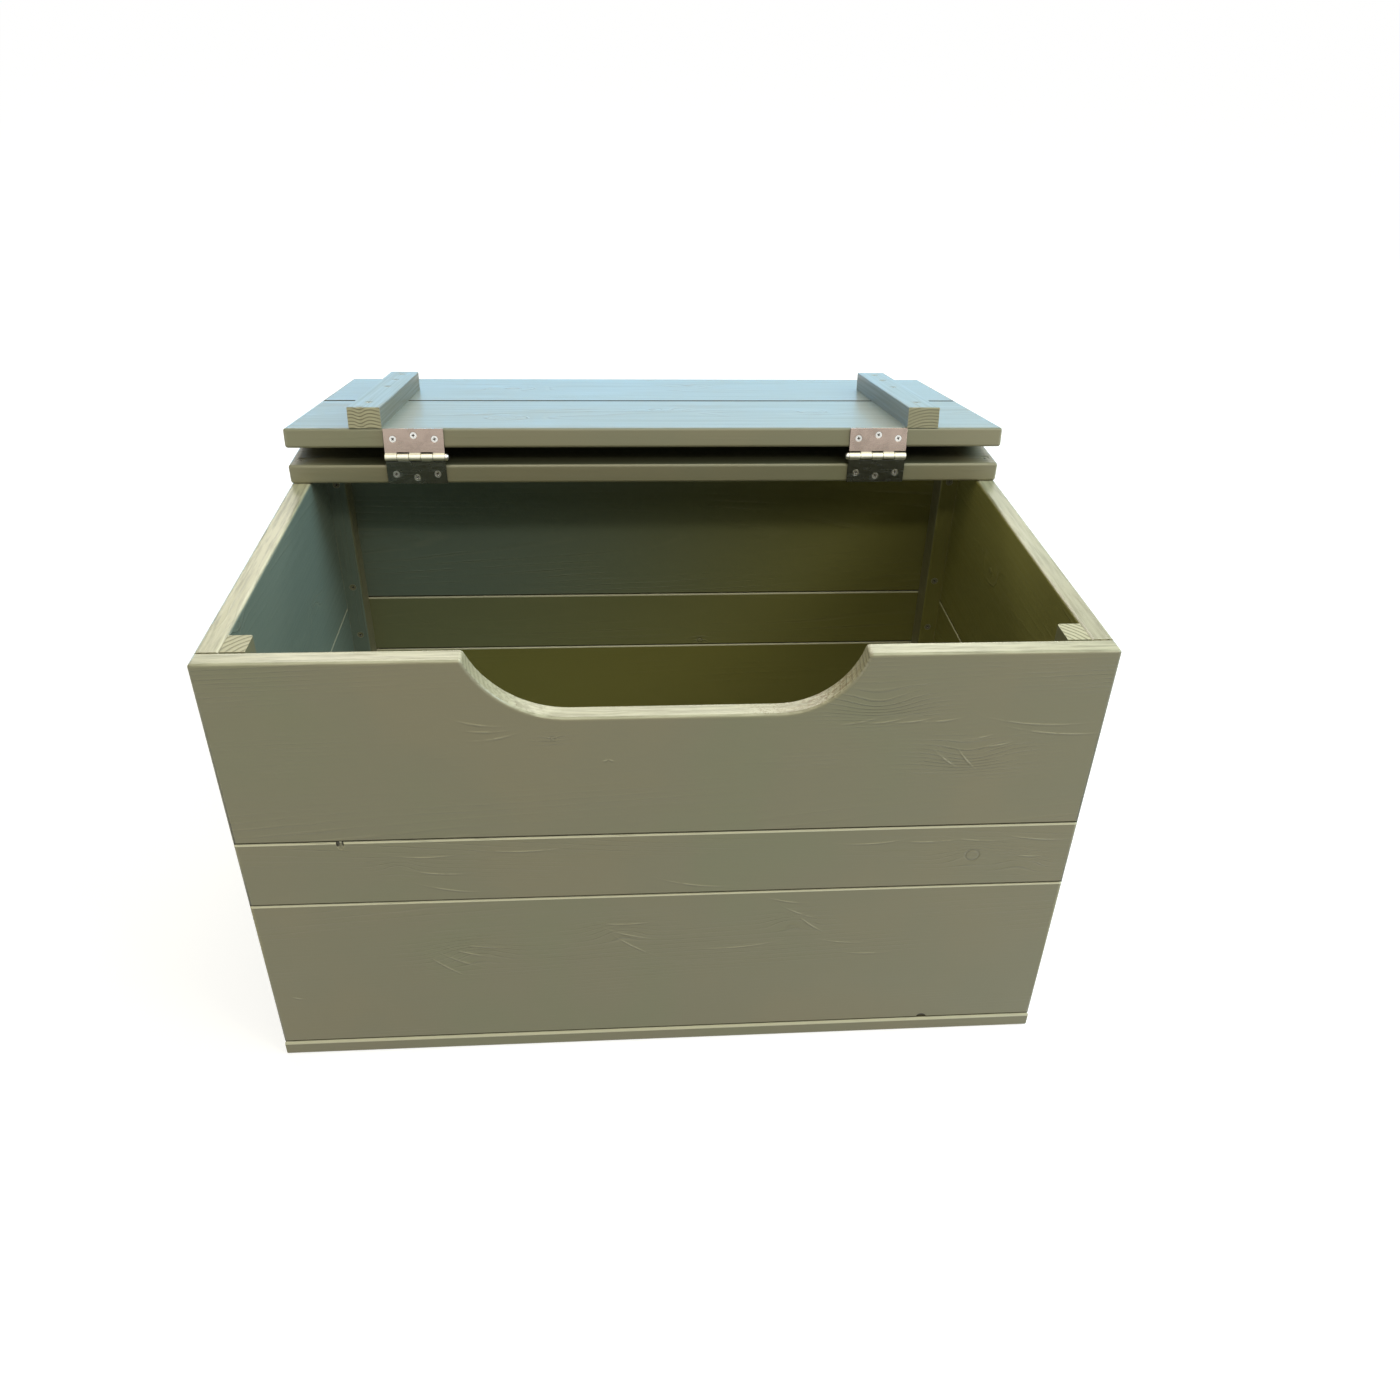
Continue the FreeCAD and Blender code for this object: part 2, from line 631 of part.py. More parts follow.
addSheet()
addFrontAndBack()
addSides()
addFloor()
addPosts()
addRail()
addLidBoards()
addBattens()
addHinges()
addHingeScrews()
doc.recompute()
subParts = [thing for thing in doc.Objects if thing.isDerivedFrom("PartDesign::Body")]
checkDocument(subParts)
writeParts(subParts)
print(f"{len(subParts)} sub-parts written")
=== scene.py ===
import json
import math

import bmesh
import bpy
from mathutils import Matrix, Vector


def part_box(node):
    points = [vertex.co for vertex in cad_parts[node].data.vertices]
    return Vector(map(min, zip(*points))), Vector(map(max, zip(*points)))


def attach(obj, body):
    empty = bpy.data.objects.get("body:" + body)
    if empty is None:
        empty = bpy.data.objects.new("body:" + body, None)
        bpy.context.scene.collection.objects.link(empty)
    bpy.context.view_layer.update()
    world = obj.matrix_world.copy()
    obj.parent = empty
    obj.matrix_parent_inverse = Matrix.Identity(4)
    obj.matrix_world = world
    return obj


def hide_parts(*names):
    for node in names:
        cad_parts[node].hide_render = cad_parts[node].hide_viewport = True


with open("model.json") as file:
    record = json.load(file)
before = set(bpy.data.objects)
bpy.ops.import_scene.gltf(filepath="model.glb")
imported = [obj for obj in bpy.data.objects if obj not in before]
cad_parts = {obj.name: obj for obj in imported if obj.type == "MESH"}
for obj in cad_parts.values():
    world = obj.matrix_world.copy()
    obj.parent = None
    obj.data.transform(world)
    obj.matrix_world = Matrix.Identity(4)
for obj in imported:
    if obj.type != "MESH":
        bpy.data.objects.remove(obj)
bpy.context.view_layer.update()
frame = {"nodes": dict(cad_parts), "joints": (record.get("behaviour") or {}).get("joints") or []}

mm = 0.001
nodes = frame["nodes"]


studio = {
    "cameraPlace": (-0.04321, -1.05212, 0.90603),
    "cameraTurn": (55.488, -1.362, -4.187),  # degrees
    "lens": 29.806,
    "sensor": 36.0,
    "shift": (-0.00134, 0.03994),
    "floorReach": 60.0,  # far enough to meet the white world at the horizon
    "floorColour": (0.5, 0.5, 0.5),
    # What the camera sees on top of the lit floor, near the chest and far off, so that it reads as white
    "floorGlow": (0.72, 0.97),
    "glowReach": (0.9, 4.0),
    "worldLight": 0.06,
    "worldTint": (1.0, 0.97, 0.86),
}

lamps = {
    # name: place, aimed at, width, depth, watts, colour
    "key": ((0.1, -0.55, 2.9), (0.0, -0.08, 0.4), 1.8, 1.0, 21.0, (1.0, 0.96, 0.82)),
    "front_strip": ((0.0, -1.75, 2.3), (0.0, -0.24, 0.25), 2.8, 0.2, 11.0, (1.0, 0.96, 0.82)),
    "front_right": ((1.5, -1.3, 1.9), (-0.15, 0.15, 0.3), 0.9, 0.9, 14.0, (1.0, 0.97, 0.82)),
    "low_left": ((-2.5, -2.3, 0.36), (0.0, -0.24, 0.25), 1.4, 0.62, 22.0, (1.0, 0.97, 0.86)),
    "low_right": ((2.5, -2.3, 0.36), (0.0, -0.24, 0.25), 1.4, 0.62, 15.0, (0.92, 0.96, 0.98)),
    "cool_right": ((1.9, 0.0, 1.6), (-0.35, 0.0, 0.3), 0.9, 0.9, 32.0, (0.62, 0.87, 1.0)),
    "warm_left": ((-1.7, -0.7, 1.8), (0.3, 0.1, 0.3), 0.9, 0.9, 3.5, (1.0, 0.86, 0.45)),
    "high_back": ((0.0, 2.3, 1.95), (0.0, -0.2, 0.42), 2.8, 0.7, 43.0, (1.0, 0.96, 0.84)),
    "back_sheen": ((-0.4, 3.2, 0.25), (0.0, 0.3, 0.45), 5.6, 0.5, 35.0, (0.06, 0.54, 1.0)),
}


def addObject(name, data):
    added = bpy.data.objects.new(name, data)
    bpy.context.scene.collection.objects.link(added)
    return added


def setCamera():
    lens = bpy.data.cameras.new("camera")
    lens.lens = studio["lens"]
    lens.sensor_width = studio["sensor"]
    lens.shift_x, lens.shift_y = studio["shift"]
    lens.clip_start = 0.02
    lens.clip_end = 300.0
    camera = addObject("camera", lens)
    camera.location = studio["cameraPlace"]
    camera.rotation_euler = [math.radians(turn) for turn in studio["cameraTurn"]]
    bpy.context.scene.camera = camera


def hangLamps():
    for name, (place, aim, width, depth, watts, colour) in lamps.items():
        light = bpy.data.lights.new(name, "AREA")
        light.shape = "RECTANGLE"
        light.size = width
        light.size_y = depth
        light.energy = watts
        light.color = colour
        lamp = addObject(name, light)
        lamp.location = place
        lamp.rotation_euler = (Vector(aim) - Vector(place)).to_track_quat("-Z", "Y").to_euler()
        lamp.visible_camera = False


def seenByEye(tree):
    # 1 for what the camera sees straight, in metal or through glass, and 0 for the light on the object.
    path = tree.nodes.new("ShaderNodeLightPath")
    seen = larger(tree, path.outputs["Is Camera Ray"], path.outputs["Is Glossy Ray"])
    return larger(tree, seen, path.outputs["Is Transmission Ray"])


def whiteWorld():
    # The camera, metal and glass see white. The light that falls on the object is softer.
    world = bpy.data.worlds.new("studio")
    world.use_nodes = True
    bpy.context.scene.world = world
    tree = world.node_tree
    tree.nodes.clear()
    seen = seenByEye(tree)
    strength = between(tree, seen, 0.0, 1.0, studio["worldLight"], 1.0, smooth=False)
    glow = tree.nodes.new("ShaderNodeBackground")
    tint = mixColour(tree, seen, (*studio["worldTint"], 1), (1, 1, 1, 1))
    feed(tree, glow.inputs["Color"], tint)
    feed(tree, glow.inputs["Strength"], strength)
    out = tree.nodes.new("ShaderNodeOutputWorld")
    tree.links.new(glow.outputs[0], out.inputs["Surface"])


def layFloor():
    reach = studio["floorReach"]
    bpy.ops.mesh.primitive_plane_add(size=2 * reach, location=(0, 0, 0))
    floor = bpy.context.object
    floor.name = "studio_floor"
    material = bpy.data.materials.new("studio_floor")
    material.use_nodes = True
    tree = material.node_tree
    tree.nodes.clear()
    matt = tree.nodes.new("ShaderNodeBsdfDiffuse")
    matt.inputs["Color"].default_value = (*studio["floorColour"], 1)
    glow = tree.nodes.new("ShaderNodeEmission")
    where = tree.nodes.new("ShaderNodeTexCoord")
    far = tree.nodes.new("ShaderNodeVectorMath")
    far.operation = "LENGTH"
    tree.links.new(where.outputs["Object"], far.inputs[0])
    lift = between(tree, far.outputs["Value"], *studio["glowReach"], *studio["floorGlow"])
    feed(tree, glow.inputs["Strength"], times(tree, seenByEye(tree), lift))
    both = tree.nodes.new("ShaderNodeAddShader")
    tree.links.new(matt.outputs[0], both.inputs[0])
    tree.links.new(glow.outputs[0], both.inputs[1])
    out = tree.nodes.new("ShaderNodeOutputMaterial")
    tree.links.new(both.outputs[0], out.inputs["Surface"])
    floor.data.materials.append(material)


def feed(tree, socket, value):
    if isinstance(value, bpy.types.NodeSocket):
        tree.links.new(value, socket)
    else:
        socket.default_value = value


def calc(tree, operation, *terms, clamp=False):
    node = tree.nodes.new("ShaderNodeMath")
    node.operation = operation
    node.use_clamp = clamp
    for socket, term in zip(node.inputs, terms):
        feed(tree, socket, term)
    return node.outputs[0]


def times(tree, first, second, clamp=False):
    return calc(tree, "MULTIPLY", first, second, clamp=clamp)


def plus(tree, first, second):
    return calc(tree, "ADD", first, second)


def minus(tree, first, second):
    return calc(tree, "SUBTRACT", first, second)


def larger(tree, first, second):
    return calc(tree, "MAXIMUM", first, second)


def between(tree, value, low, high, toLow=0.0, toHigh=1.0, smooth=True):
    node = tree.nodes.new("ShaderNodeMapRange")
    node.interpolation_type = "SMOOTHSTEP" if smooth else "LINEAR"
    for name, term in (("Value", value), ("From Min", low), ("From Max", high),
                       ("To Min", toLow), ("To Max", toHigh)):
        feed(tree, node.inputs[name], term)
    return node.outputs["Result"]


def spread(tree, a, b, c, scales, shift=0.0):
    # A place in the pattern, from three coordinates and how fast each one runs.
    node = tree.nodes.new("ShaderNodeCombineXYZ")
    for socket, term, scale in zip(node.inputs, (a, b, c), scales):
        feed(tree, socket, calc(tree, "MULTIPLY_ADD", term, scale, shift))
    return node.outputs[0]


def noise(tree, place, detail=2.0, roughness=0.5):
    node = tree.nodes.new("ShaderNodeTexNoise")
    node.inputs["Scale"].default_value = 1.0
    node.inputs["Detail"].default_value = detail
    node.inputs["Roughness"].default_value = roughness
    tree.links.new(place, node.inputs["Vector"])
    return node.outputs["Fac"]


def mixColour(tree, share, first, second):
    node = tree.nodes.new("ShaderNodeMix")
    node.data_type = "RGBA"
    feed(tree, node.inputs[0], share)
    feed(tree, node.inputs[6], first)
    feed(tree, node.inputs[7], second)
    return node.outputs[2]


def hill(tree, a, b, width, height):
    # 1 at a = b = 0, falling off softly over the width and the height.
    across = calc(tree, "POWER", calc(tree, "ABSOLUTE", calc(tree, "DIVIDE", a, width)), 2.0)
    up = calc(tree, "POWER", calc(tree, "ABSOLUTE", calc(tree, "DIVIDE", b, height)), 2.0)
    return calc(tree, "EXPONENT", times(tree, plus(tree, across, up), -1.0))


def colour(red, green, blue):
    # A colour as a screen shows it, 0 to 255, for a shader.
    def linear(part):
        part = part / 255
        return part / 12.92 if part <= 0.04045 else ((part + 0.055) / 1.055) ** 2.4
    return (linear(red), linear(green), linear(blue), 1.0)


def newMaterial(name):
    material = bpy.data.materials.new(name)
    material.use_nodes = True
    return material, material.node_tree, material.node_tree.nodes["Principled BSDF"]


def objectPlace(tree):
    # The object's own coordinates, one by one, and the way the face looks.
    where = tree.nodes.new("ShaderNodeTexCoord")
    split = tree.nodes.new("ShaderNodeSeparateXYZ")
    tree.links.new(where.outputs["Object"], split.inputs[0])
    return (*split.outputs, where.outputs["Normal"])


def addBump(tree, shader, height, distance=1.0):
    bump = tree.nodes.new("ShaderNodeBump")
    bump.inputs["Distance"].default_value = distance
    tree.links.new(height, bump.inputs["Height"])
    tree.links.new(bump.outputs[0], shader.inputs["Normal"])


def dress(piece, material):
    piece.data.materials.clear()
    piece.data.materials.append(material)
    for face in piece.data.polygons:
        face.material_index = 0


lean = math.radians(9.0605)  # how far the open lid leans back
hingeLine = Vector(frame["joints"][0]["pos_m"])
lidOut = Vector((0, math.cos(lean), -math.sin(lean)))  # from the hinge edge to the lid's free edge
lidUp = Vector((0, math.sin(lean), math.cos(lean)))

paint = {
    "colour": colour(131, 128, 103),
    "warmPatch": colour(134, 129, 103),
    "greenPatch": colour(129, 129, 102),
    # ringLine: the ring lines, and also the painted shade under the torn strokes and in the pressed knot
    # rings
    "ringLine": colour(108, 104, 80),
    # rubbed: worn paint on the arrises, and also the painted highlight on the ring lines' crests and the
    # torn strokes
    "rubbed": colour(186, 181, 150),
    "paintedCoolLight": colour(112, 127, 118),  # painted cool light and reflection on the lid's inner face and where the chest's inside is lit cooler
    # painted shade on the battens' right and left sides
    "flankShade": colour(100, 96, 68),
    "inside": colour(132, 129, 68),  # painted warm shade of the chest's inside, yellower than the paint, on the back, right and floor boards' inner faces
    # seam bands: a painted highlight on a lower board's upper edge, and a painted shade in the crevice
    "seamHighlight": colour(214, 212, 182),
    "seamShade": colour(48, 45, 30),
    # painted shade on the rail's top under the lid
    "underLidShade": colour(50, 54, 40),
    "topHighlight": colour(184, 181, 152),  # painted highlight on the walls' upper edges
    "endGrain": colour(186, 181, 149),
    "endRing": colour(86, 82, 56),
    "bareWood": colour(112, 92, 54),
    "screwRim": (0.86, 0.85, 0.80, 1),  # bare metal
    "darkSpot": colour(62, 58, 42),
    "roughness": 0.36,
    "wornWidth": 1.6 * mm,  # of the arrises
    "warmShadeReach": (-0.25, 0.32),  # from where to where the painted inner light changes, left to right
    "underLidShadeReach": (0.375, 0.30),  # how far out the painted shade on the rail's top starts and is full
    "embossing": 0.55 * mm,  # height of the latewood under the paint
    "fibres": 0.035 * mm,
    "pores": 0.25 * mm,
}

grainLies = {
    # name: along the grain, across the board's face
    "front": (Vector((1, 0, 0)), Vector((0, 0, 1))),
    "side": (Vector((0, 1, 0)), Vector((0, 0, 1))),
    "flat": (Vector((1, 0, 0)), Vector((0, 1, 0))),
    "post": (Vector((0, 0, 1)), Vector((1, 0, 0))),
    "lid": (Vector((1, 0, 0)), lidOut),
    "batten": (lidOut, Vector((-1, 0, 0))),
}

toFront = Vector((0, -1, 0))
toRight = Vector((1, 0, 0))
toLeft = Vector((-1, 0, 0))
upward = Vector((0, 0, 1))
coolAll = (0.0, 0.0)  # no painted warm shade at either end

# What boards have in common. The options are explained below.
leftWall = {"lie": "side", "inward": toRight, "warmShade": coolAll, "tinted": 0.95, "seamShare": 0.3}
rightWall = {"lie": "side", "inward": toLeft}
backWall = {"lie": "front", "inward": toFront}
chestFloor = {"lie": "flat", "inward": upward}
frontPost = {"lie": "post", "openEnd": 0.95, "wander": 0.7}
rearPost = {"lie": "post", "inward": toFront, "wander": 0.8}
lidBoard = {"lie": "lid", "inward": lidUp, "warmShade": coolAll, "tinted": 0.8, "streaks": 0.6}
batten = {"lie": "batten", "inward": lidUp, "warmShade": coolAll, "tinted": 1.0,
          "shadedFlanks": True, "wander": 0.8}

timber = {
    # lie: how the grain lies. seed: starts the board's noise.
    # pith: where the heart of the tree lies from the board's middle, across and deep, in mm
    # rise: how far the heart strays over a metre, across and deep, in mm
    # ring: the rings' spacing in mm. wander: how far they wave, in rings.
    # knots: along, across, radius, how deep the ring round it is pressed, from the board's middle
    # torn: groups of strokes: middle along and across, how many, the step from one to the next,
    # half length, and the slants of the first and the last in degrees
    # darkSpots: dark spots over the chips: along, across, half length, half height
    # inward: which way the inner face looks. tinted: how far that face takes the painted inner light.
    # warmShade: how far the painted inner light is warm shade, not cool light, at the left and right ends
    # of the chest
    # topHighlightShare: how strong the painted highlight on the upper edge is. openEnd: how bare the end
    # grain is.
    # streaks: how dark the ring lines are. seamShare: how strong the seams' painted highlight and shade
    # are.
    # specks: bare wood beside the scoop. shadedFlanks: painted shade on the right and left sides.
    # shadedUnderLid: painted shade on the upper face under the lid.
    "front_top_board": {
        "lie": "front", "openEnd": 0.35, "topHighlightShare": 1.0, "specks": True,
        "pith": (-98, -44), "rise": (22, 26), "ring": 3.9, "seed": 3,
        "knots": [(262, -12, 8, 0.0), (-96, 14, 2, 0.5), (178, 42, 8, 0.0)],
        "torn": [(-150, 22, 3, (6, -7), 12, (-10, 10)),
                 (-50, -9, 2, (5, 0), 2, (20, -20)),
                 (195, 24, 4, (24, 0), 12, (10, 5)),
                 (250, -16, 2, (18, 0), 10, (-40, -50)),
                 (275, 2, 2, (18, -8), 9, (10, 10)),
                 (325, 14, 2, (-20, 10), 28, (-5, -5))]},
    "front_middle_board": {
        "lie": "front",
        "pith": (62, -40), "rise": (-22, 40), "ring": 3.8, "seed": 11,
        "knots": [(282, -2, 6.2, 1.0), (330, -10, 6, 0.0), (-237, 4, 4, 0.0)],
        "darkSpots": [(-286.6, 30.6, 1.5, 3.4), (-282.6, 30.6, 1.0, 3.0)],
        "torn": [(-205, -6, 3, (8, -19), 18, (0, -12)),
                 (-130, 17, 1, (0, 0), 30, (0, 0)),
                 (25, -28, 1, (0, 0), 20, (-10, -10)),
                 (265, 15, 4, (50, 0), 20, (4, -6)),
                 (335, -5, 1, (0, 0), 8, (-4, -4))]},
    "front_bottom_board": {
        "lie": "front",
        "pith": (104, -50), "rise": (24, -30), "ring": 4.0, "seed": 23,
        "knots": [(-180, 20, 8, 0.0), (-43, 40, 6, 0.0), (120, 46, 5, 0.0)],
        "darkSpots": [(262, -90.6, 5.4, 3.0)],
        "torn": [(-352, -32, 1, (0, 0), 4, (-15, -15)),
                 (-190, 15, 4, (-12, -8), 15, (-8, -40)),
                 (-35, 36, 3, (3, -14), 16, (0, -36)),
                 (125, 57, 3, (12, -15), 12, (-12, -40)),
                 (70, 16, 1, (0, 0), 26, (5, 5)),
                 (182, 10, 2, (25, -16), 15, (-8, -2))]},
    "back_top_board": {
        **backWall, "warmShade": (0.0, 1.0),
        "pith": (-12, 70), "rise": (20, 30), "ring": 5.0, "seed": 31},
    "back_middle_board": {
        **backWall, "warmShade": (0.55, 1.0),
        "pith": (10, 60), "rise": (-20, 20), "ring": 4.2, "seed": 37,
        "knots": [(64, -32, 3, 1.0)]},
    "back_bottom_board": {
        **backWall,
        "pith": (8, 64), "rise": (26, -30), "ring": 5.1, "seed": 41},
    "left_top_board": {
        **leftWall, "topHighlightShare": 1.2,
        "pith": (14, 62), "rise": (-24, 40), "ring": 4.8, "seed": 47,
        "knots": [(-168, 82, 4, 0.4), (60, -20, 6, 0.2)]},
    "left_middle_board": {
        **leftWall,
        "pith": (-10, 66), "rise": (30, 20), "ring": 4.6, "seed": 53,
        "knots": [(110, 4, 5, 0.3)]},
    "left_bottom_board": {
        **leftWall,
        "pith": (-16, 70), "rise": (22, -36), "ring": 5.0, "seed": 59,
        "knots": [(-90, 24, 6, 0.25)]},
    "right_top_board": {
        **rightWall, "topHighlightShare": 0.6,
        "pith": (10, -68), "rise": (26, -40), "ring": 5.0, "seed": 61,
        "knots": [(40, 24, 6, 0.2)]},
    "right_middle_board": {
        **rightWall,
        "pith": (16, -62), "rise": (-20, 30), "ring": 4.4, "seed": 67,
        "knots": [(-120, -4, 5, 0.25)]},
    "right_bottom_board": {
        **rightWall,
        "pith": (-10, -66), "rise": (30, 34), "ring": 5.2, "seed": 71,
        "knots": [(80, -20, 6, 0.2)]},
    "front_left_post": {
        **frontPost,
        "pith": (40, -34), "rise": (4, 6), "ring": 5.4, "seed": 73},
    "front_right_post": {
        **frontPost,
        "pith": (-62, -50), "rise": (4, 6), "ring": 5.0, "seed": 79},
    "rear_left_post": {
        **rearPost, "warmShade": coolAll,
        "pith": (26, 24), "rise": (5, 5), "ring": 3.2, "seed": 83},
    "rear_right_post": {
        **rearPost,
        "pith": (-28, 22), "rise": (5, 5), "ring": 3.0, "seed": 89},
    "floor_front_board": {
        **chestFloor,
        "pith": (12, -60), "rise": (24, 30), "ring": 4.8, "seed": 97,
        "knots": [(-140, 20, 6, 0.5)]},
    "floor_middle_board": {
        **chestFloor,
        "pith": (-10, -66), "rise": (20, -30), "ring": 5.0, "seed": 101,
        "knots": [(90, -30, 7, 0.5)]},
    "floor_back_board": {
        **chestFloor,
        "pith": (8, -62), "rise": (-22, 26), "ring": 4.8, "seed": 103,
        "knots": [(-220, 0, 5, 0.5)]},
    "hinge_rail": {
        "lie": "flat", "shadedUnderLid": True,
        "pith": (6, -70), "rise": (16, -30), "ring": 4.4, "seed": 107,
        "knots": [(150, 20, 5, 0.3)]},
    "lid_rear_board": {
        **lidBoard,
        "pith": (-14, -66), "rise": (30, 34), "ring": 5.0, "seed": 109,
        "knots": [(9, 24, 7, 0.5), (-150, -30, 6, 0.2), (190, 8, 5, 0.2)]},
    "lid_front_board": {
        **lidBoard,
        "pith": (10, -62), "rise": (-26, 30), "ring": 4.8, "seed": 113,
        "knots": [(-160, 8, 8, 0.3), (60, 30, 6, 0.2)]},
    "lid_left_batten": {
        **batten,
        "pith": (4, -62), "rise": (8, 14), "ring": 3.4, "seed": 127,
        "knots": [(-134, 4, 3, 1.0)]},
    "lid_right_batten": {
        **batten, "openEnd": 0.4,
        "pith": (-8, -55), "rise": (6, 12), "ring": 3.2, "seed": 131},
}


seams = {
    # ending of the board's name: the bands beside its seams, from the board's middle in mm, light (a
    # painted highlight) or dark (a painted shade)
    "bottom_board": [("across", 83.5, 85.4, "light"), ("across", 85.5, 86.5, "dark"),
                     ("across", -92.5, -89.6, "dark")],
    "middle_board": [("across", 30.5, 32.4, "light"), ("across", 32.5, 33.5, "dark"),
                     ("across", -39.5, -36.5, "dark")],
    "top_board": [("across", -90.5, -87.4, "dark")],
    "lid_rear_board": [("across", 85.7, 90.5, "dark")],
    "lid_front_board": [("across", -94.5, -90.6, "dark")],
    "floor_front_board": [("deep", 4.8, 8.3, "light"), ("deep", 8.4, 8.9, "dark")],
}


def boardPlace(tree, name, board):
    # The board's own coordinates: along the grain, across the face and deep, from its middle.
    along, across = grainLies[board["lie"]]
    deep = along.cross(across)
    low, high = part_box(name)
    turn = Matrix((along, across, deep)).transposed().to_euler()
    where = tree.nodes.new("ShaderNodeTexCoord")
    mapping = tree.nodes.new("ShaderNodeMapping")
    mapping.vector_type = "TEXTURE"
    mapping.inputs["Location"].default_value = (low + high) / 2
    mapping.inputs["Rotation"].default_value = turn
    tree.links.new(where.outputs["Object"], mapping.inputs["Vector"])
    split = tree.nodes.new("ShaderNodeSeparateXYZ")
    tree.links.new(mapping.outputs[0], split.inputs[0])
    return split.outputs[0], split.outputs[1], split.outputs[2], where.outputs["Normal"]


def dotProduct(tree, first, second):
    node = tree.nodes.new("ShaderNodeVectorMath")
    node.operation = "DOT_PRODUCT"
    feed(tree, node.inputs[0], first)
    feed(tree, node.inputs[1], second)
    return node.outputs["Value"]


def facing(tree, normal, direction, signed=False):
    # How squarely a face looks along a direction, from 0 to 1. Unsigned, against it counts too.
    squarely = dotProduct(tree, normal, direction)
    return squarely if signed else calc(tree, "ABSOLUTE", squarely)


def edgeWear(tree, radius):
    # Near 1 on the arrises, where the paint is rubbed thin, and 0 on the flats.
    bevel = tree.nodes.new("ShaderNodeBevel")
    bevel.samples = 4
    bevel.inputs["Radius"].default_value = radius
    shape = tree.nodes.new("ShaderNodeNewGeometry")
    alike = dotProduct(tree, bevel.outputs[0], shape.outputs["Normal"])
    return between(tree, alike, 0.995, 0.86)


def band(tree, value, low, high, fade=0.12):
    # 1 between two heights in mm, with soft ends.
    rising = between(tree, value, (low - fade) * mm, (low + fade) * mm)
    return times(tree, rising, between(tree, value, (high + fade) * mm, (high - fade) * mm))


def seamBands(tree, name, board, shade, gloss, across, deep):
    # A painted highlight on the upper edge of a lower board, and a dull painted shade in the crevice over
    # it.
    if board["lie"] == "flat" and name != "floor_front_board":
        return shade, gloss
    ending = name if name in seams else name.split("_", 1)[1]
    for axis, low, high, tone in seams.get(ending, ()):
        share = band(tree, deep if axis == "deep" else across, low, high)
        share = times(tree, share, board.get("seamShare", 0.95))
        shade = mixColour(tree, share, shade, paint["seamHighlight" if tone == "light" else "seamShade"])
        if tone == "dark":
            gloss = calc(tree, "MULTIPLY_ADD", share, 0.6, gloss)
    return shade, gloss


stroke = {
    "bend": 0.06,  # how far a stroke curves, against its length
    "thick": 0.7,  # half the thickness of the raised stroke and its painted highlight, in mm
    "shadeThick": 0.8,
    "shadeDrop": 1.2,  # how far the painted shadow lies below the stroke, in mm
}


def tornStrokes(groups):
    # Each group's strokes lie side by side, and their slant turns from the first to the last.
    for along, across, count, step, long, slants in groups:
        for turn in range(count):
            fromMiddle = turn - (count - 1) / 2
            slant = slants[0] + (slants[1] - slants[0]) * turn / max(count - 1, 1)
            yield along + fromMiddle * step[0], across + fromMiddle * step[1], long, slant


def distance(tree, a, b):
    squares = plus(tree, times(tree, a, a), times(tree, b, b))
    return calc(tree, "SQRT", squares)


def offFrom(tree, place, middleAlong, middleAcross):
    # How far a place lies along and across from a middle that is given in mm.
    ahead = minus(tree, place[0], middleAlong * mm)
    return ahead, minus(tree, place[1], middleAcross * mm)


def pattern(tree, place, board, paces, number, detail=2.0, roughness=0.5):
    # Noise with its own pace along, across and deep, different on each board and for each number.
    shift = board["seed"] * 1.37 + number
    return noise(tree, spread(tree, *place, paces, shift), detail, roughness)


def heartDistance(tree, place, board):
    # The rings run round the heart of the tree, which strays slowly along the board.
    along, across, deep = place
    pithAcross, pithDeep = (part * mm for part in board["pith"])
    riseAcross, riseDeep = (part * mm for part in board["rise"])
    fromHeart = minus(tree, across, calc(tree, "MULTIPLY_ADD", along, riseAcross, pithAcross))
    fromHeartDeep = minus(tree, deep, calc(tree, "MULTIPLY_ADD", along, riseDeep, pithDeep))
    radius = distance(tree, fromHeart, fromHeartDeep)
    # Slow waves, quick ones and a ragged edge: their noise, and how many rings they reach.
    for noiseValues, rings in ((((1.9, 13.0, 13.0), 0.0, 2.0, 0.45), board.get("wander", 4.0)),
                               (((11.0, 70.0, 70.0), 5.0, 1.0), 0.3),
                               (((45.0, 170.0, 170.0), 6.0), 0.16)):
        wave = pattern(tree, place, board, *noiseValues)
        radius = calc(tree, "MULTIPLY_ADD", wave, rings * board["ring"] * mm, radius)
    return radius


knot = {
    # in radii of the knot, along and across, but for the rim
    "swing": (4.2, 2.0),
    "push": 1.3,  # how far the rings swing out
    "reach": (7.0, 3.0),  # where the ring lines show more
    "rim": 0.9,  # half the width of the pressed ring in mm
}


def addKnots(tree, place, board, radius):
    # Round each knot the rings swing out, and the knot's own edge is a pressed ring.
    pressed = 0.0
    near = 0.0
    for knotAlong, knotAcross, size, press in board.get("knots", ()):
        ahead, aside = offFrom(tree, place, knotAlong, knotAcross)
        swing = hill(tree, ahead, aside, *(radii * size * mm for radii in knot["swing"]))
        radius = calc(tree, "MULTIPLY_ADD", swing, knot["push"] * size * mm, radius)
        wide = hill(tree, ahead, aside, *(radii * size * mm for radii in knot["reach"]))
        near = larger(tree, near, wide)
        if press:
            away = minus(tree, distance(tree, ahead, aside), size * mm)
            rim = calc(tree, "DIVIDE", away, knot["rim"] * mm)
            rim = calc(tree, "EXPONENT", times(tree, times(tree, rim, rim), -1.0))
            pressed = calc(tree, "MULTIPLY_ADD", rim, press, pressed)
    return radius, pressed, near


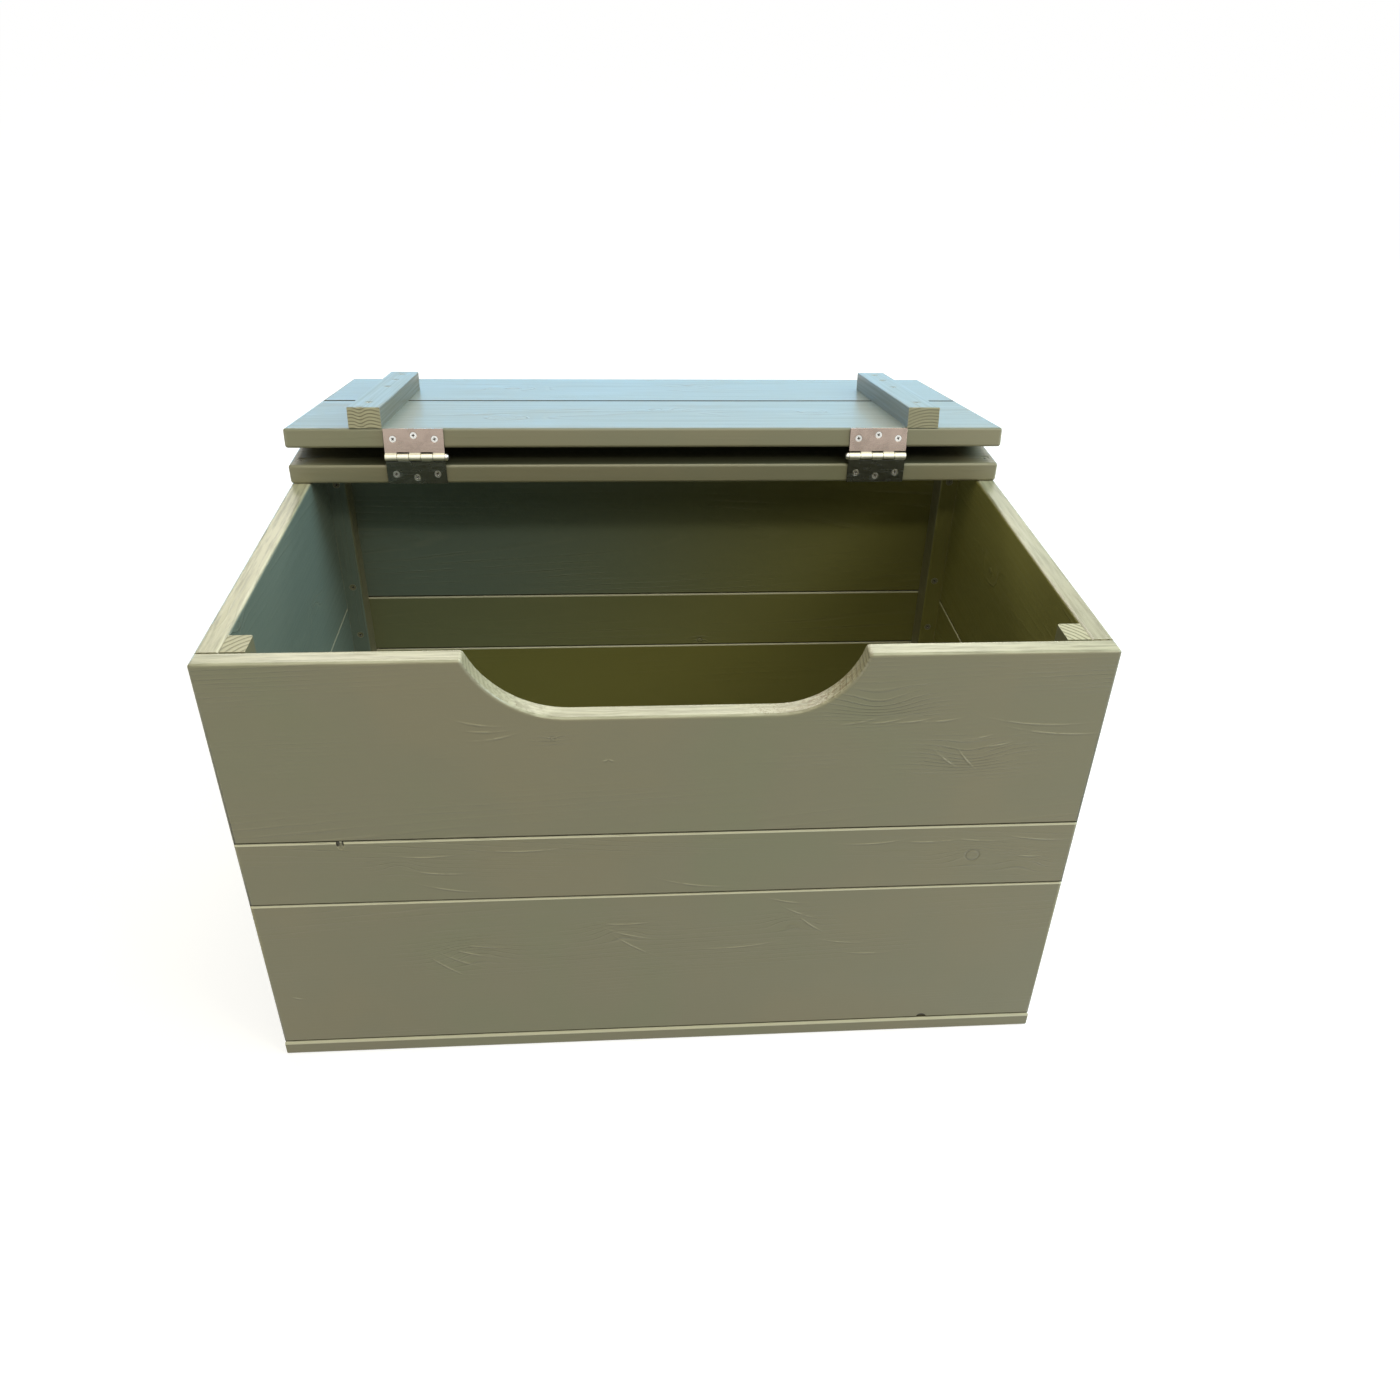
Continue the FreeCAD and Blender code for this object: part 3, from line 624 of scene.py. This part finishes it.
def tornGrain(tree, place, board):
    # Short strokes of torn grain stand up under the paint, with a painted highlight above and a painted
    # shadow below.
    torn = 0.0
    shaded = 0.0
    for strokeAlong, strokeAcross, long, slant in tornStrokes(board.get("torn", ())):
        ahead, aside = offFrom(tree, place, strokeAlong, strokeAcross)
        cosine, sine = math.cos(math.radians(slant)), math.sin(math.radians(slant))
        run = calc(tree, "MULTIPLY_ADD", ahead, cosine, times(tree, aside, sine))
        off = times(tree, aside, cosine)
        off = minus(tree, off, times(tree, ahead, sine))
        curve = times(tree, run, run)
        off = calc(tree, "MULTIPLY_ADD", curve, -stroke["bend"] / (long * mm), off)
        light = hill(tree, run, off, long * mm, stroke["thick"] * mm)
        torn = larger(tree, torn, light)
        below = plus(tree, off, stroke["shadeDrop"] * mm)
        dark = hill(tree, run, below, long * mm, stroke["shadeThick"] * mm)
        shaded = larger(tree, shaded, dark)
    # They are broken up, and lie on the outer side only.
    tears = pattern(tree, place, board, (60.0, 90.0, 90.0), 12.0)
    outerSide = between(tree, place[2], 0.0, 9.0 * mm)
    tears = times(tree, between(tree, tears, 0.34, 0.5, 0.25, 1.0), outerSide)
    return times(tree, torn, tears), times(tree, shaded, tears)


def grainSigns(tree, place, board, normal):
    # The signs of the grain and of wear that colour, gloss and bump share.
    radius = heartDistance(tree, place, board)
    radius, pressed, nearKnot = addKnots(tree, place, board, radius)
    torn, shaded = tornGrain(tree, place, board)
    # Each ring rises slowly to a thin hard line of latewood and drops behind it.
    step = calc(tree, "FRACT", calc(tree, "DIVIDE", radius, board["ring"] * mm))
    line = times(tree, between(tree, step, 0.76, 0.92), between(tree, step, 1.0, 0.93))
    # The lines show in patches and near knots, broken here and there, and less on a board's edges.
    along, across = grainLies[board["lie"]]
    patches = pattern(tree, place, board, (4.0, 16.0, 16.0), 9.0)
    showing = larger(tree, between(tree, patches, 0.46, 0.72, 0.05, 0.6), nearKnot)
    broken = pattern(tree, place, board, (26.0, 120.0, 120.0), 8.0)
    showing = times(tree, showing, between(tree, broken, 0.32, 0.52, 0.25, 1.0))
    flatOn = facing(tree, normal, along.cross(across))
    showing = times(tree, showing, between(tree, flatOn, 0.5, 0.98, 0.25, 1.0))
    scuffs = pattern(tree, place, board, (60.0, 240.0, 240.0), 4.0, 3.0)
    rubbed = between(tree, scuffs, 0.35, 0.7, 0.12, 0.62)
    worn = edgeWear(tree, paint["wornWidth"])
    return {"step": step, "line": line, "showing": showing, "pressed": pressed, "torn": torn,
            "shaded": shaded, "endOn": between(tree, facing(tree, normal, along), 0.5, 0.9),
            "scuffs": scuffs, "rubbed": times(tree, worn, rubbed)}


def freshPaint(tree, place, board, normal):
    # Patches of warmer and greener paint, and the looks that only one side of a board has: painted light
    # on inner faces, painted shade on flanks and under the lid, a painted highlight on upper edges.
    tint = pattern(tree, place, board, (6.0, 5.0, 5.0), 2.0, 2.0, 0.55)
    shade = mixColour(tree, between(tree, tint, 0.35, 0.5), paint["warmPatch"], paint["colour"])
    shade = mixColour(tree, between(tree, tint, 0.5, 0.68), shade, paint["greenPatch"])
    if "inward" in board:
        # Inner faces take a painted light, cool light or warm shade as warmShade gives it along the chest.
        inner = between(tree, facing(tree, normal, board["inward"], signed=True), 0.5, 0.9)
        warmShade = between(tree, place[0], *paint["warmShadeReach"], *board.get("warmShade", (1.0, 1.0)))
        paintedInnerLight = mixColour(tree, warmShade, paint["paintedCoolLight"], paint["inside"])
        shade = mixColour(tree, times(tree, inner, board.get("tinted", 0.9)), shade, paintedInnerLight)
    if board.get("shadedFlanks"):
        # The right and left sides get a painted shade.
        flankShade = between(tree, facing(tree, normal, toRight), 0.5, 0.9)
        shade = mixColour(tree, flankShade, shade, paint["flankShade"])
    if board.get("shadedUnderLid"):
        # Painted shade darkens the top under the lid, less so at its open ends.
        upper = between(tree, facing(tree, normal, upward, signed=True), 0.8, 0.97)
        inland = between(tree, calc(tree, "ABSOLUTE", place[0]), *paint["underLidShadeReach"], 0.2, 0.85)
        shade = mixColour(tree, times(tree, upper, inland), shade, paint["underLidShade"])
    if "topHighlightShare" in board:
        # The upper edges get a painted highlight, streaked along the grain.
        upper = between(tree, facing(tree, normal, upward, signed=True), 0.35, 0.85)
        grainy = pattern(tree, place, board, (22.0, 300.0, 300.0), 1.0, 3.0, 0.6)
        share = times(tree, upper, between(tree, grainy, 0.3, 0.62, 0.2, 0.95))
        share = times(tree, share, board["topHighlightShare"], clamp=True)
        shade = mixColour(tree, share, shade, paint["topHighlight"])
    return shade


showThrough = {
    # how strongly each sign of the grain changes the paint: crest and torn as a painted highlight, shaded
    # and pressed as a painted shade
    "crest": 0.18,  # a painted highlight on the pale side of a ring line
    "torn": 0.6,
    "shaded": 0.7,
    "pressed": 0.6,
    "endRing": 0.55,
}


def paintOverGrain(tree, board, grain, shade):
    # Darker over the ring lines, a painted shade under the torn strokes and in the pressed knot rings, a
    # painted highlight on the ring lines' crests and the torn strokes, and thin on the end grain.
    step = grain["step"]
    shown = times(tree, grain["line"], grain["showing"])
    shown = times(tree, shown, board.get("streaks", 0.3))
    shade = mixColour(tree, shown, shade, paint["ringLine"])
    strokeShadow = times(tree, grain["shaded"], showThrough["shaded"])
    pressed = times(tree, grain["pressed"], showThrough["pressed"])
    shade = mixColour(tree, larger(tree, strokeShadow, pressed), shade, paint["ringLine"])
    crest = times(tree, between(tree, step, 0.0, 0.05), between(tree, step, 0.2, 0.1))
    crest = times(tree, times(tree, crest, grain["showing"]), showThrough["crest"])
    crest = larger(tree, crest, times(tree, grain["torn"], showThrough["torn"]))
    shade = mixColour(tree, crest, shade, paint["rubbed"])
    endLine = times(tree, between(tree, step, 0.42, 0.8), between(tree, step, 1.0, 0.93))
    endLine = times(tree, endLine, showThrough["endRing"])
    endShade = mixColour(tree, endLine, paint["endGrain"], paint["endRing"])
    bare = times(tree, grain["endOn"], board.get("openEnd", 0.7))
    shade = mixColour(tree, bare, shade, endShade)
    return mixColour(tree, grain["rubbed"], shade, paint["rubbed"])


def addDarkSpots(tree, place, board, shade):
    # Dark spots in the paint, over the chips cut into the front boards.
    darkSpots = 0.0
    for spotAlong, spotAcross, long, tall in board.get("darkSpots", ()):
        ahead, aside = offFrom(tree, place, spotAlong, spotAcross)
        darkSpots = larger(tree, darkSpots, hill(tree, ahead, aside, long * mm, tall * mm))
    return mixColour(tree, between(tree, darkSpots, 0.3, 0.5), shade, paint["darkSpot"])


scoopWear = {
    "height": 52,  # the scoop's edge over the middle of its board, in mm
    "reach": 34,  # how far over and under it the specks fade out, in mm
    "strength": 0.8,
    # middle along the board and half width in mm, how fine they are, and the noise over which they show
    "specks": ((84, 17, 520.0, 0.5), (132, 34, 240.0, 0.48), (-126, 30, 420.0, 0.6)),
}


def addSpecks(tree, place, normal, shade):
    # Bare wood shows in specks where the scoop was sanded through the paint.
    edge = between(tree, facing(tree, normal, toFront), 0.5, 0.15)
    for middle, wide, fineness, least in scoopWear["specks"]:
        ahead, aside = offFrom(tree, place, middle, scoopWear["height"])
        near = hill(tree, ahead, aside, wide * mm, scoopWear["reach"] * mm)
        grit = noise(tree, spread(tree, *place, (fineness, fineness, 620.0), middle), 3.0, 0.7)
        grit = between(tree, grit, least, least + 0.09)
        share = times(tree, times(tree, near, edge), grit)
        share = times(tree, share, scoopWear["strength"])
        shade = mixColour(tree, share, shade, paint["bareWood"])
    return shade


def paintedPine(name, board):
    material, tree, shader = newMaterial("painted_pine_" + name)
    *place, normal = boardPlace(tree, name, board)
    grain = grainSigns(tree, place, board, normal)

    shade = freshPaint(tree, place, board, normal)
    shade = paintOverGrain(tree, board, grain, shade)
    shade, gloss = seamBands(tree, name, board, shade, 0.0, place[1], place[2])
    if board.get("specks"):
        shade = addSpecks(tree, place, normal, shade)
    tree.links.new(addDarkSpots(tree, place, board, shade), shader.inputs["Base Color"])

    # Gloss: brush strokes along the grain, duller on the end grain and where it is rubbed.
    brushMarks = pattern(tree, place, board, (6.0, 420.0, 420.0), 7.0)
    brushed = between(tree, brushMarks, 0.25, 0.75, paint["roughness"] - 0.05, paint["roughness"] + 0.07)
    gloss = plus(tree, gloss, brushed)
    gloss = plus(tree, gloss, times(tree, grain["endOn"], 0.16))
    gloss = plus(tree, gloss, times(tree, grain["rubbed"], 0.12))
    tree.links.new(gloss, shader.inputs["Roughness"])

    # Bump: embossed rings, torn grain, pressed knots, then fibres, and pores on the end grain.
    raised = plus(tree, grain["showing"], times(tree, grain["endOn"], 0.6))
    height = times(tree, grain["line"], raised)
    height = calc(tree, "MULTIPLY_ADD", grain["torn"], 0.9, height)
    height = minus(tree, height, grain["pressed"])
    height = times(tree, height, paint["embossing"])
    fibre = times(tree, brushMarks, paint["fibres"])
    fibre = times(tree, fibre, minus(tree, 1.0, grain["endOn"]))
    pores = times(tree, times(tree, grain["scuffs"], grain["endOn"]), paint["pores"])
    height = plus(tree, height, plus(tree, fibre, pores))
    addBump(tree, shader, height)
    shader.inputs["IOR"].default_value = 1.5
    return material


steels = {
    # grain: how fast the brush marks run along x, y and z
    "hinge_steel": {"colour": (0.475, 0.38, 0.315, 1), "roughness": 0.24, "grain": (60.0, 420.0, 420.0),
                    # barrel: a painted highlight on the rolled knuckles. shaded: a painted shade on the
                    # leaf under the pin.
                    "barrel": (0.71, 0.695, 0.56, 1), "shaded": (0.21, 0.225, 0.20, 1),
                    # knuckleEnd: a painted shade on the knuckles' ends, between them
                    "knuckleEnd": (0.05, 0.05, 0.04, 1),
                    # from the pin's middle: how far the barrel's painted highlight goes, and how far down
                    # the leaf's painted shade lies
                    "barrelReach": (4.6 * mm, 3.7 * mm), "shadedFrom": (-2.0 * mm, -3.2 * mm)},
    "pin_steel": {"colour": (0.86, 0.84, 0.76, 1), "roughness": 0.3, "grain": (60.0, 700.0, 700.0)},
    "bright_screw_steel": {"colour": (0.88, 0.87, 0.83, 1), "roughness": 0.26,
                           "grain": (500.0, 500.0, 500.0)},
    # screw_recess: near-black, a painted shade in the screws' recesses and on the sloping sides of their
    # heads
    "screw_recess": {"colour": (0.10, 0.09, 0.075, 1), "roughness": 0.5,
                     "grain": (500.0, 500.0, 500.0)},
}


def satinSteel(name):
    steel = steels[name]
    material, tree, shader = newMaterial(name)
    x, y, z, normal = objectPlace(tree)
    brushed = noise(tree, spread(tree, x, y, z, steel["grain"]), 3.0, 0.6)
    cloud = noise(tree, spread(tree, x, y, z, (70.0, 70.0, 70.0), 4.0), 3.0, 0.6)
    dull = tuple(0.84 * part for part in steel["colour"][:3]) + (1,)
    shade = mixColour(tree, between(tree, cloud, 0.4, 0.75), steel["colour"], dull)
    gloss = between(tree, brushed, 0.3, 0.7, steel["roughness"] - 0.03, steel["roughness"] + 0.04)
    gloss = plus(tree, gloss, times(tree, between(tree, cloud, 0.5, 0.8), 0.1))
    if "barrel" in steel:
        # Under the pin the leaf gets a painted shade. The rolled knuckles are lighter, a painted
        # highlight, and less glossy than the flat of the leaf.
        back = minus(tree, y, hingeLine.y)
        up = minus(tree, z, hingeLine.z)
        below = between(tree, up, *steel["shadedFrom"])
        shade = mixColour(tree, below, shade, steel["shaded"])
        rolled = between(tree, distance(tree, back, up), *steel["barrelReach"])
        shade = mixColour(tree, rolled, shade, steel["barrel"])
        gloss = calc(tree, "MULTIPLY_ADD", rolled, 0.24, gloss)
        # The faces that look right and left, the knuckles' ends among them, get a painted shade.
        ends = between(tree, facing(tree, normal, toRight), 0.25, 0.6)
        shade = mixColour(tree, ends, shade, steel["knuckleEnd"])
    tree.links.new(shade, shader.inputs["Base Color"])
    shader.inputs["Metallic"].default_value = 1.0
    tree.links.new(gloss, shader.inputs["Roughness"])
    addBump(tree, shader, brushed, 0.004 * mm)
    return material


def paintedSteel():
    # Screw heads brushed over with the chest's paint, thin on their rims.
    material, tree, shader = newMaterial("wood_screw_steel")
    x, y, z = objectPlace(tree)[:3]
    cover = noise(tree, spread(tree, x, y, z, (420.0, 420.0, 420.0)), 3.0, 0.6)
    bare = times(tree, edgeWear(tree, 0.5 * mm), between(tree, cover, 0.25, 0.42, 0.35, 1.0))
    shade = mixColour(tree, cover, paint["warmPatch"], paint["greenPatch"])
    shade = mixColour(tree, bare, shade, paint["screwRim"])
    tree.links.new(shade, shader.inputs["Base Color"])
    tree.links.new(bare, shader.inputs["Metallic"])
    gloss = between(tree, cover, 0.3, 0.7, 0.3, 0.45)
    tree.links.new(gloss, shader.inputs["Roughness"])
    addBump(tree, shader, cover, 0.12 * mm)
    return material


def startFresh():
    if bpy.context.mode != "OBJECT":
        bpy.ops.object.mode_set(mode="OBJECT")
    bpy.ops.object.select_all(action="DESELECT")


def makeActive(piece):
    startFresh()
    piece.select_set(True)
    bpy.context.view_layer.objects.active = piece


def editFaces(piece, test):
    # Opens the piece in edit mode with the faces selected that pass the test.
    makeActive(piece)
    bpy.ops.object.mode_set(mode="EDIT")
    bpy.ops.mesh.select_mode(type="FACE")
    bpy.ops.mesh.select_all(action="DESELECT")
    shape = bmesh.from_edit_mesh(piece.data)
    for face in shape.faces:
        if test(face.calc_center_median(), face.normal):
            face.select_set(True)
    bmesh.update_edit_mesh(piece.data)


def closeEdit():
    bpy.ops.object.mode_set(mode="OBJECT")


def cutWith(piece, cutter):
    makeActive(piece)
    cut = piece.modifiers.new("cut", "BOOLEAN")
    cut.operation = "DIFFERENCE"
    cut.solver = "EXACT"
    cut.object = cutter
    bpy.ops.object.modifier_apply(modifier="cut")


def softenEdges(piece, width, segments):
    makeActive(piece)
    bevel = piece.modifiers.new("edges", "BEVEL")
    bevel.width = width
    bevel.segments = segments
    bevel.limit_method = "ANGLE"
    bevel.angle_limit = math.radians(40)
    bevel.use_clamp_overlap = True
    bpy.ops.object.modifier_apply(modifier="edges")
    evenNormals(piece)


def evenNormals(piece):
    # Smooth roundings that leave the flats flat.
    makeActive(piece)
    bpy.ops.object.shade_smooth_by_angle(angle=math.radians(40))
    even = piece.modifiers.new("even", "WEIGHTED_NORMAL")
    even.keep_sharp = True
    even.weight = 100
    bpy.ops.object.modifier_apply(modifier="even")


def justAdded():
    # The shape just added, with its place, turn and scale worked into its mesh.
    bpy.ops.object.transform_apply(location=True, rotation=True, scale=True)
    return bpy.context.object


def throwAway(piece):
    bpy.data.objects.remove(piece, do_unlink=True)


def cutAndThrow(piece, cutter):
    cutWith(piece, cutter)
    throwAway(cutter)


def copyOfNode(name, newName):
    # A copy of a CAD node with its loose triangles merged into clean faces.
    piece = addObject(newName, nodes[name].data.copy())
    makeActive(piece)
    bpy.ops.object.mode_set(mode="EDIT")
    bpy.ops.mesh.select_all(action="SELECT")
    bpy.ops.mesh.remove_doubles(threshold=0.002 * mm)
    bpy.ops.mesh.dissolve_limited(angle_limit=math.radians(0.5))
    bpy.ops.mesh.normals_make_consistent(inside=False)
    closeEdit()
    return piece


def standAt(place, outward, spin):
    # The matrix that stands a screw, modelled at the origin with its head up, at a place.
    turn = Vector(outward).to_track_quat("Z", "X").to_matrix().to_4x4()
    return Matrix.Translation(place) @ turn @ Matrix.Rotation(math.radians(spin), 4, "Z")


screws = {
    # all in mm. deep: the head's height. slot: the length of the cross recess.
    "leaf": {"head": 7.0, "shank": 4.0, "deep": 1.5, "length": 16.0, "slot": 4.7, "slotWidth": 1.35,
             "slotDeep": 1.1},
    "wood": {"head": 8.0, "shank": 4.0, "deep": 2.0, "length": 12.0, "slot": 5.2, "slotWidth": 1.45,
             "slotDeep": 1.3},
}


screwShape = {
    "rim": 0.28,  # mm
    "domeSide": 0.35,
    "dome": 0.07,
    "edge": 0.07,
    "pointLength": 0.2,  # of the length under the head
    "point": 0.12,  # of the shank's width
    "recessFoot": 0.42,  # of the recess at the top
}


def modelScrew(kind):
    # A countersunk screw with a cross recess, its head's top at the origin.
    screw = screws[kind]
    startFresh()
    bpy.ops.mesh.primitive_cone_add(vertices=32, radius1=screw["shank"] / 2 * mm,
                                    radius2=screw["head"] / 2 * mm, depth=screw["deep"] * mm,
                                    location=(0, 0, -screw["deep"] / 2 * mm))
    piece = justAdded()
    piece.name = kind + "_screw_pattern"
    editFaces(piece, lambda middle, normal: normal.z > 0.9)
    bpy.ops.mesh.inset(thickness=screwShape["rim"] * mm)
    bpy.ops.mesh.inset(thickness=screwShape["domeSide"] * mm, depth=screwShape["dome"] * mm)
    closeEdit()
    editFaces(piece, lambda middle, normal: normal.z < -0.9)
    for stretch in (1 - screwShape["pointLength"], screwShape["pointLength"]):
        down = (screw["length"] - screw["deep"]) * stretch * mm
        bpy.ops.mesh.extrude_region_move(TRANSFORM_OT_translate={"value": (0, 0, -down)})
    bpy.ops.transform.resize(value=(screwShape["point"], screwShape["point"], 1.0))
    closeEdit()
    for turn in (0, 90):
        startFresh()
        bpy.ops.mesh.primitive_cube_add(size=1.0, location=(0, 0, 0),
                                        rotation=(0, 0, math.radians(turn)),
                                        scale=(screw["slot"] * mm, screw["slotWidth"] * mm,
                                               2 * screw["slotDeep"] * mm))
        wing = justAdded()
        editFaces(wing, lambda middle, normal: normal.z < -0.9)
        bpy.ops.transform.resize(value=(screwShape["recessFoot"], screwShape["recessFoot"], 1.0))
        closeEdit()
        cutAndThrow(piece, wing)
    softenEdges(piece, screwShape["edge"] * mm, 1)
    # The recess and the sloping side of the head take a painted shade, in the second slot.
    for face in piece.data.polygons:
        middle, normal = face.center / mm, face.normal
        inRecess = middle.xy.length < screw["slot"] / 2 + 0.1 and middle.z < -0.12
        face.material_index = 1 if inRecess or normal.z < -0.2 else 0
    return piece


def placeScrew(pattern, name, place, outward, spin, material, body):
    piece = addObject(name, pattern.data.copy())
    piece.data.transform(standAt(place, outward, spin))
    sides = [face.material_index for face in piece.data.polygons]
    dress(piece, material)
    piece.data.materials.append(recessShadeSteel)
    for face, side in zip(piece.data.polygons, sides):
        face.material_index = side
    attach(piece, body)
    return piece


print("studio")
setCamera()
whiteWorld()
layFloor()
hangLamps()

print("painted boards")
for boardName, boardValues in timber.items():
    dress(nodes[boardName], paintedPine(boardName, boardValues))

print("hinges")
hingeSteel = satinSteel("hinge_steel")
pinSteel = satinSteel("pin_steel")
screwSteel = satinSteel("bright_screw_steel")
recessShadeSteel = satinSteel("screw_recess")

hinge = {
    # in mm: the width of a leaf's softened edges, each hinge's middle, the pitch of a leaf's screws,
    # how far they lie from the pin, and how much further the middle one does
    "leaves": {"left_rail_leaf": "chest", "right_rail_leaf": "chest",
               "left_lid_leaf": "lid", "right_lid_leaf": "lid"},
    "edge": 0.22,
    "middles": {"left": -244.0, "right": 241.0},
    "pitch": 21.2,
    "drop": 18.2,
    "stagger": 3.6,
}

for leafName, leafBody in hinge["leaves"].items():
    leaf = copyOfNode(leafName, leafName + "_pressed")
    softenEdges(leaf, hinge["edge"] * mm, 2)
    dress(leaf, hingeSteel)
    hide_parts(leafName)
    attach(leaf, leafBody)
for pinName in ("left_hinge_pin", "right_hinge_pin"):
    dress(nodes[pinName], pinSteel)

print("hinge screws")
leafPattern = modelScrew("leaf")
railFace = 131.0  # front of the rail, under the leaves
leafThick = 1.6
hingeEdge = 1.7  # from the pin's middle back to the lid's edge
leafSunk = 0.1  # how far the hinge screws' heads lie under the leaf
leafSpins = {"left": (12, 48, -22), "right": (66, 30, -8)}
for side, middle in hinge["middles"].items():
    for number, (offset, spin) in enumerate(zip((-1, 0, 1), leafSpins[side])):
        drop = hinge["drop"] + (hinge["stagger"] if offset == 0 else 0)
        x = (middle + offset * hinge["pitch"]) * mm
        railPlace = Vector((x, (railFace - leafThick + leafSunk) * mm, hingeLine.z - drop * mm))
        screw = placeScrew(leafPattern, "rail_leaf_screw_%s_%d" % (side, number + 1), railPlace,
                           (0, -1, 0), spin, screwSteel, "chest")
        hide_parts("rail_leaf_screws")
        onLeaf = lidUp * drop + lidOut * (hingeEdge - leafThick + leafSunk)
        lidPlace = Vector((x, hingeLine.y, hingeLine.z)) + onLeaf * mm
        screw = placeScrew(leafPattern, "lid_leaf_screw_%s_%d" % (side, number + 1), lidPlace,
                           -lidOut, spin + 35, screwSteel, "lid")
        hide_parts("lid_leaf_screws")
throwAway(leafPattern)

print("seams and chips")
boardCuts = {
    # slot: the open seam's middle and size in mm, cut from the board's edge
    # chips: each chip's middle and its three radii in mm
    "front_top_board": {"slot": ((0, -243.5, 266.3), (752, 6.0, 2.0))},
    "front_middle_board": {"slot": ((0, -243.5, 195.3), (752, 6.0, 2.0)),
                           "chips": [((-284.5, -245.4, 264.0), (3.4, 2.6, 6.4))]},
    "front_bottom_board": {"slot": ((0, -243.5, 18.0), (752, 6.0, 1.6)),
                           "chips": [((262.0, -245.4, 20.2), (5.2, 2.4, 3.8))]},
    # The lid's are from the pin, outwards and up. The last number turns the cutter, for a bevel.
    "lid_rear_board": {"slot": ((0, 185.4, 26.7), (752, 3.4, 6.0))},
    "lid_front_board": {"slot": ((0, 186.7, 28.9), (752, 3.4, 3.4), 45)},
}


def cutSlot(piece, onLid, middle, size, turn=0):
    startFresh()
    place = Vector(middle) * mm
    angle = math.radians(turn)
    if onLid:
        place = hingeLine + (lidOut * middle[1] + lidUp * middle[2]) * mm
        angle -= lean
    bpy.ops.mesh.primitive_cube_add(size=mm, location=place, rotation=(angle, 0, 0), scale=size)
    cutAndThrow(piece, justAdded())


for boardName, cuts in boardCuts.items():
    onLid = boardName.startswith("lid")
    board = copyOfNode(boardName, boardName + "_worked")
    cutSlot(board, onLid, *cuts["slot"])
    for place, radii in cuts.get("chips", ()):
        startFresh()
        bpy.ops.mesh.primitive_uv_sphere_add(segments=24, ring_count=14, radius=mm,
                                             location=Vector(place) * mm, scale=radii)
        cutAndThrow(board, justAdded())
    evenNormals(board)
    dress(board, nodes[boardName].data.materials[0])
    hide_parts(boardName)
    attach(board, "lid" if onLid else "chest")

print("wood screws")
woodSteel = paintedSteel()
woodPattern = modelScrew("wood")
postScrews = (45, 168, 230.5, 293, 418)  # heights in mm
battenScrews = (34, 149, 205, 251)  # from the lid's hinge edge, in mm
battenTop = 49.9  # over the pin's middle


def onBatten(x, out):
    # A place on a batten's upper face, in mm.
    return hingeLine / mm + Vector((x, 0, 0)) + lidOut * (hingeEdge + out) + lidUp * battenTop


woodScrews = {
    # board: body, outward, the screws' places on its face in mm
    "hinge_rail": ("chest", upward,
                   [Vector((x, y, 465)) for x in (-365, 365) for y in (148.5, 207.5)]),
    "rear_left_post": ("chest", toFront,
                       [Vector((-345, 197, z)) for z in postScrews]),
    "rear_right_post": ("chest", toFront,
                        [Vector((345, 197, z)) for z in postScrews]),
    "lid_left_batten": ("lid", lidUp,
                        [onBatten(-292, out) for out in battenScrews]),
    "lid_right_batten": ("lid", lidUp,
                         [onBatten(288, out) for out in battenScrews]),
}
sunk = 0.7  # how far the wood screws' heads lie under the surface


def countersink(place, outward):
    # A cone whose wide end stands just over the wood.
    startFresh()
    wide, deep, proud = 5.1, 4.6, 0.4
    turn = Vector(outward).to_track_quat("Z", "X").to_euler()
    bpy.ops.mesh.primitive_cone_add(vertices=32, radius1=(wide - deep) * mm, radius2=wide * mm,
                                    depth=deep * mm, rotation=turn,
                                    location=(place + outward * (proud - deep / 2)) * mm)
    return justAdded()


for boardName, (body, outward, places) in woodScrews.items():
    drilled = copyOfNode(boardName, boardName + "_drilled")
    for number, place in enumerate(places):
        cutAndThrow(drilled, countersink(place, outward))
        placeScrew(woodPattern, "wood_screw_%s_%d" % (boardName, number + 1),
                   (place - outward * sunk) * mm, outward, 17 * number + 23, woodSteel,
                   body)
    evenNormals(drilled)
    dress(drilled, nodes[boardName].data.materials[0])
    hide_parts(boardName)
    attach(drilled, body)
throwAway(woodPattern)

startFresh()
bpy.context.scene.view_settings.view_transform = "Standard"
